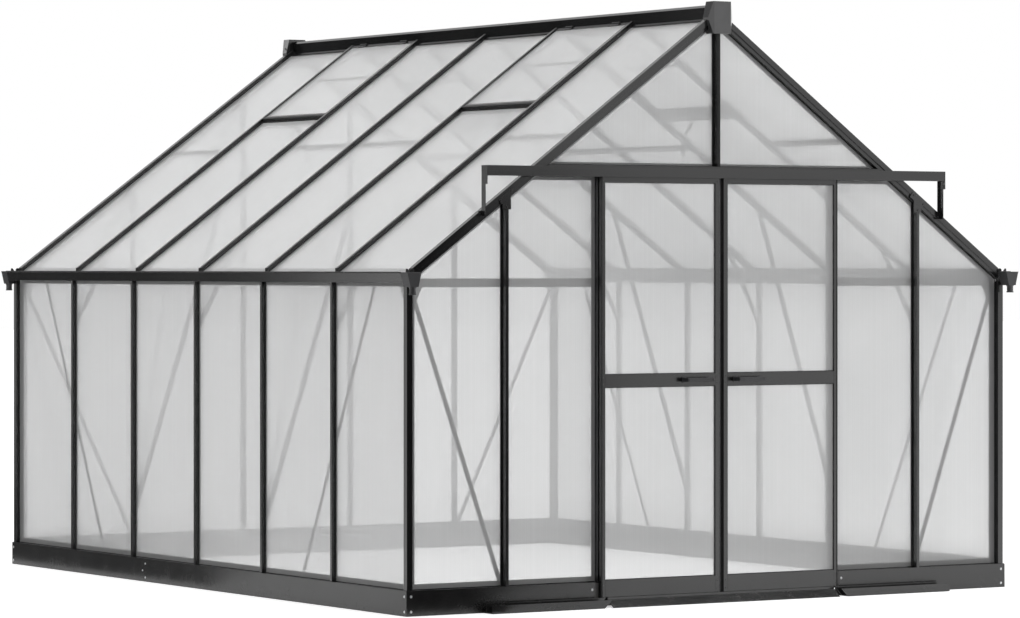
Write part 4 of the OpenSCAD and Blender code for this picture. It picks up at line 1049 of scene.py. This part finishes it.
def flat_card(name, corners, finish):
    """A plain card of the studio, not part of the greenhouse."""
    data = bpy.data.meshes.new(name)
    data.from_pydata(corners, [], [(0, 1, 2, 3)])
    data.materials.append(finish)
    card = bpy.data.objects.new(name, data)
    bpy.context.scene.collection.objects.link(card)
    return card


def white_behind(tree):
    """One for rays that come from the camera, off a gloss or through a sheet, else nothing."""
    rays = tree.nodes.new("ShaderNodeLightPath").outputs
    return sum_node(tree, "MAXIMUM", rays["Is Camera Ray"],
                    sum_node(tree, "MAXIMUM", rays["Is Glossy Ray"], rays["Is Transmission Ray"]))


def pale_floor():
    """White floor: it takes the shadow of the greenhouse and carries on into the backdrop."""
    finish, tree, shader, place = new_finish("pale_floor")
    mottled = noise(tree, place, 3.0, 4.0)
    dress(tree, shader, blend_colour(tree, mottled, (0.86, 0.86, 0.86), (0.89, 0.89, 0.89)),
          spread(tree, mottled, 0.2, 0.8, 0.86, 0.94))
    shader.inputs["Specular IOR Level"].default_value = 0.1
    lift = blend_colour(tree, share(tree, white_behind(tree), 0.5), (0.0, 0.0, 0.0),
                        (1.0, 1.0, 1.0))
    tree.links.new(lift, shader.inputs["Emission Color"])
    shader.inputs["Emission Strength"].default_value = 1.0
    return finish


def black_card(name, corners, glow):
    """A dark flag that only shows in the gloss of the bars."""
    finish = bpy.data.materials.new(name)
    finish.use_nodes = True
    shader = finish.node_tree.nodes["Principled BSDF"]
    shader.inputs["Base Color"].default_value = (0.004, 0.004, 0.004, 1.0)
    shader.inputs["Specular IOR Level"].default_value = 0.0
    shader.inputs["Emission Color"].default_value = (glow, glow, glow, 1.0)
    shader.inputs["Emission Strength"].default_value = 1.0
    card = flat_card(name, corners, finish)
    card.visible_camera = False
    card.visible_diffuse = False
    card.visible_transmission = False
    card.visible_shadow = False


def standing_flag(name, start, end, low, high, glow=0.0):
    """A dark flag that stands between two places of the floor plan."""
    black_card(name, [(*start, low), (*end, low), (*end, high), (*start, high)], glow)


def lying_flag(name, plan, glow=0.0):
    """A dark flag that lies just above the floor."""
    black_card(name, [(x, y, 0.004) for x, y in plan], glow)


def lamp(name, at, toward, size, power):
    """A square soft lamp, aimed at a point."""
    light = bpy.data.lights.new(name, "AREA")
    light.shape = "RECTANGLE"
    light.size = light.size_y = size
    light.energy = power
    holder = bpy.data.objects.new(name, light)
    bpy.context.scene.collection.objects.link(holder)
    holder.location = at
    holder.rotation_euler = (Vector(toward) - Vector(at)).to_track_quat("-Z", "Y").to_euler()
    return holder


FLOOR_REACH = 70.0
FLAG_X, FLAG_FOOT_X, FLAG_BACK = -6.0, -1.65, 18.0
FLAG_SPLIT_Z = 2.1
FLAG_FRONT_X, FLAG_FRONT_Y = 0.80, -4.2
flat_card("studio_floor", [(x * FLOOR_REACH, y * FLOOR_REACH, 0) for x, y in
                           ((-1, -1), (1, -1), (1, 1), (-1, 1))], pale_floor())
standing_flag("flag_left_high", (FLAG_X, 5.6), (FLAG_X, FLAG_BACK), FLAG_SPLIT_Z, 7.0)
standing_flag("flag_left_low", (FLAG_X, 6.2), (FLAG_X, FLAG_BACK), 0.0, FLAG_SPLIT_Z, 0.6)
lying_flag("flag_left_foot", ((FLAG_FOOT_X, 0.0), (FLAG_X, 7.0), (FLAG_X, FLAG_BACK),
                              (FLAG_FOOT_X, FLAG_BACK)), 0.1)
standing_flag("flag_front", (FLAG_X, FLAG_FRONT_Y), (FLAG_FRONT_X, FLAG_FRONT_Y), 0.0, 1.84)
lying_flag("flag_front_foot", ((FLAG_X, -1.95), (-1.1, -1.95), (FLAG_FRONT_X, FLAG_FRONT_Y),
                               (FLAG_X, FLAG_FRONT_Y)))
lamp("soft_front", (5.0, -8.0, 5.2), (0.3, -0.6, 1.3), 4.0, 215.0).visible_glossy = False
lamp("soft_right", (7.5, -1.5, 3.4), (0.6, -0.4, 1.6), 3.2, 130.0)
lamp("soft_top", (-2.0, 1.0, 8.0), (0.0, 0.2, 1.5), 5.0, 130.0)

sky = bpy.data.worlds.new("studio")
bpy.context.scene.world = sky
sky.use_nodes = True
sky.cycles.sampling_method = "NONE"
air = sky.node_tree.nodes["Background"]
brightness = lifted(sky.node_tree, 0.8, white_behind(sky.node_tree), 0.2)
sky.node_tree.links.new(brightness, air.inputs["Strength"])
air.inputs["Color"].default_value = (1.0, 1.0, 1.0, 1.0)

lens = bpy.data.cameras.new("camera")
lens.lens = 152.46
lens.sensor_width = 36
lens.shift_x = 0
lens.shift_y = -0.0428
lens.clip_end = 300
camera = bpy.data.objects.new("camera", lens)
camera.location = (-10.52, -16.95, 1.43)
camera.rotation_euler = (math.radians(90), 0, math.radians(-32.08))
bpy.context.scene.collection.objects.link(camera)
bpy.context.scene.camera = camera
bpy.context.scene.view_settings.view_transform = "Standard"
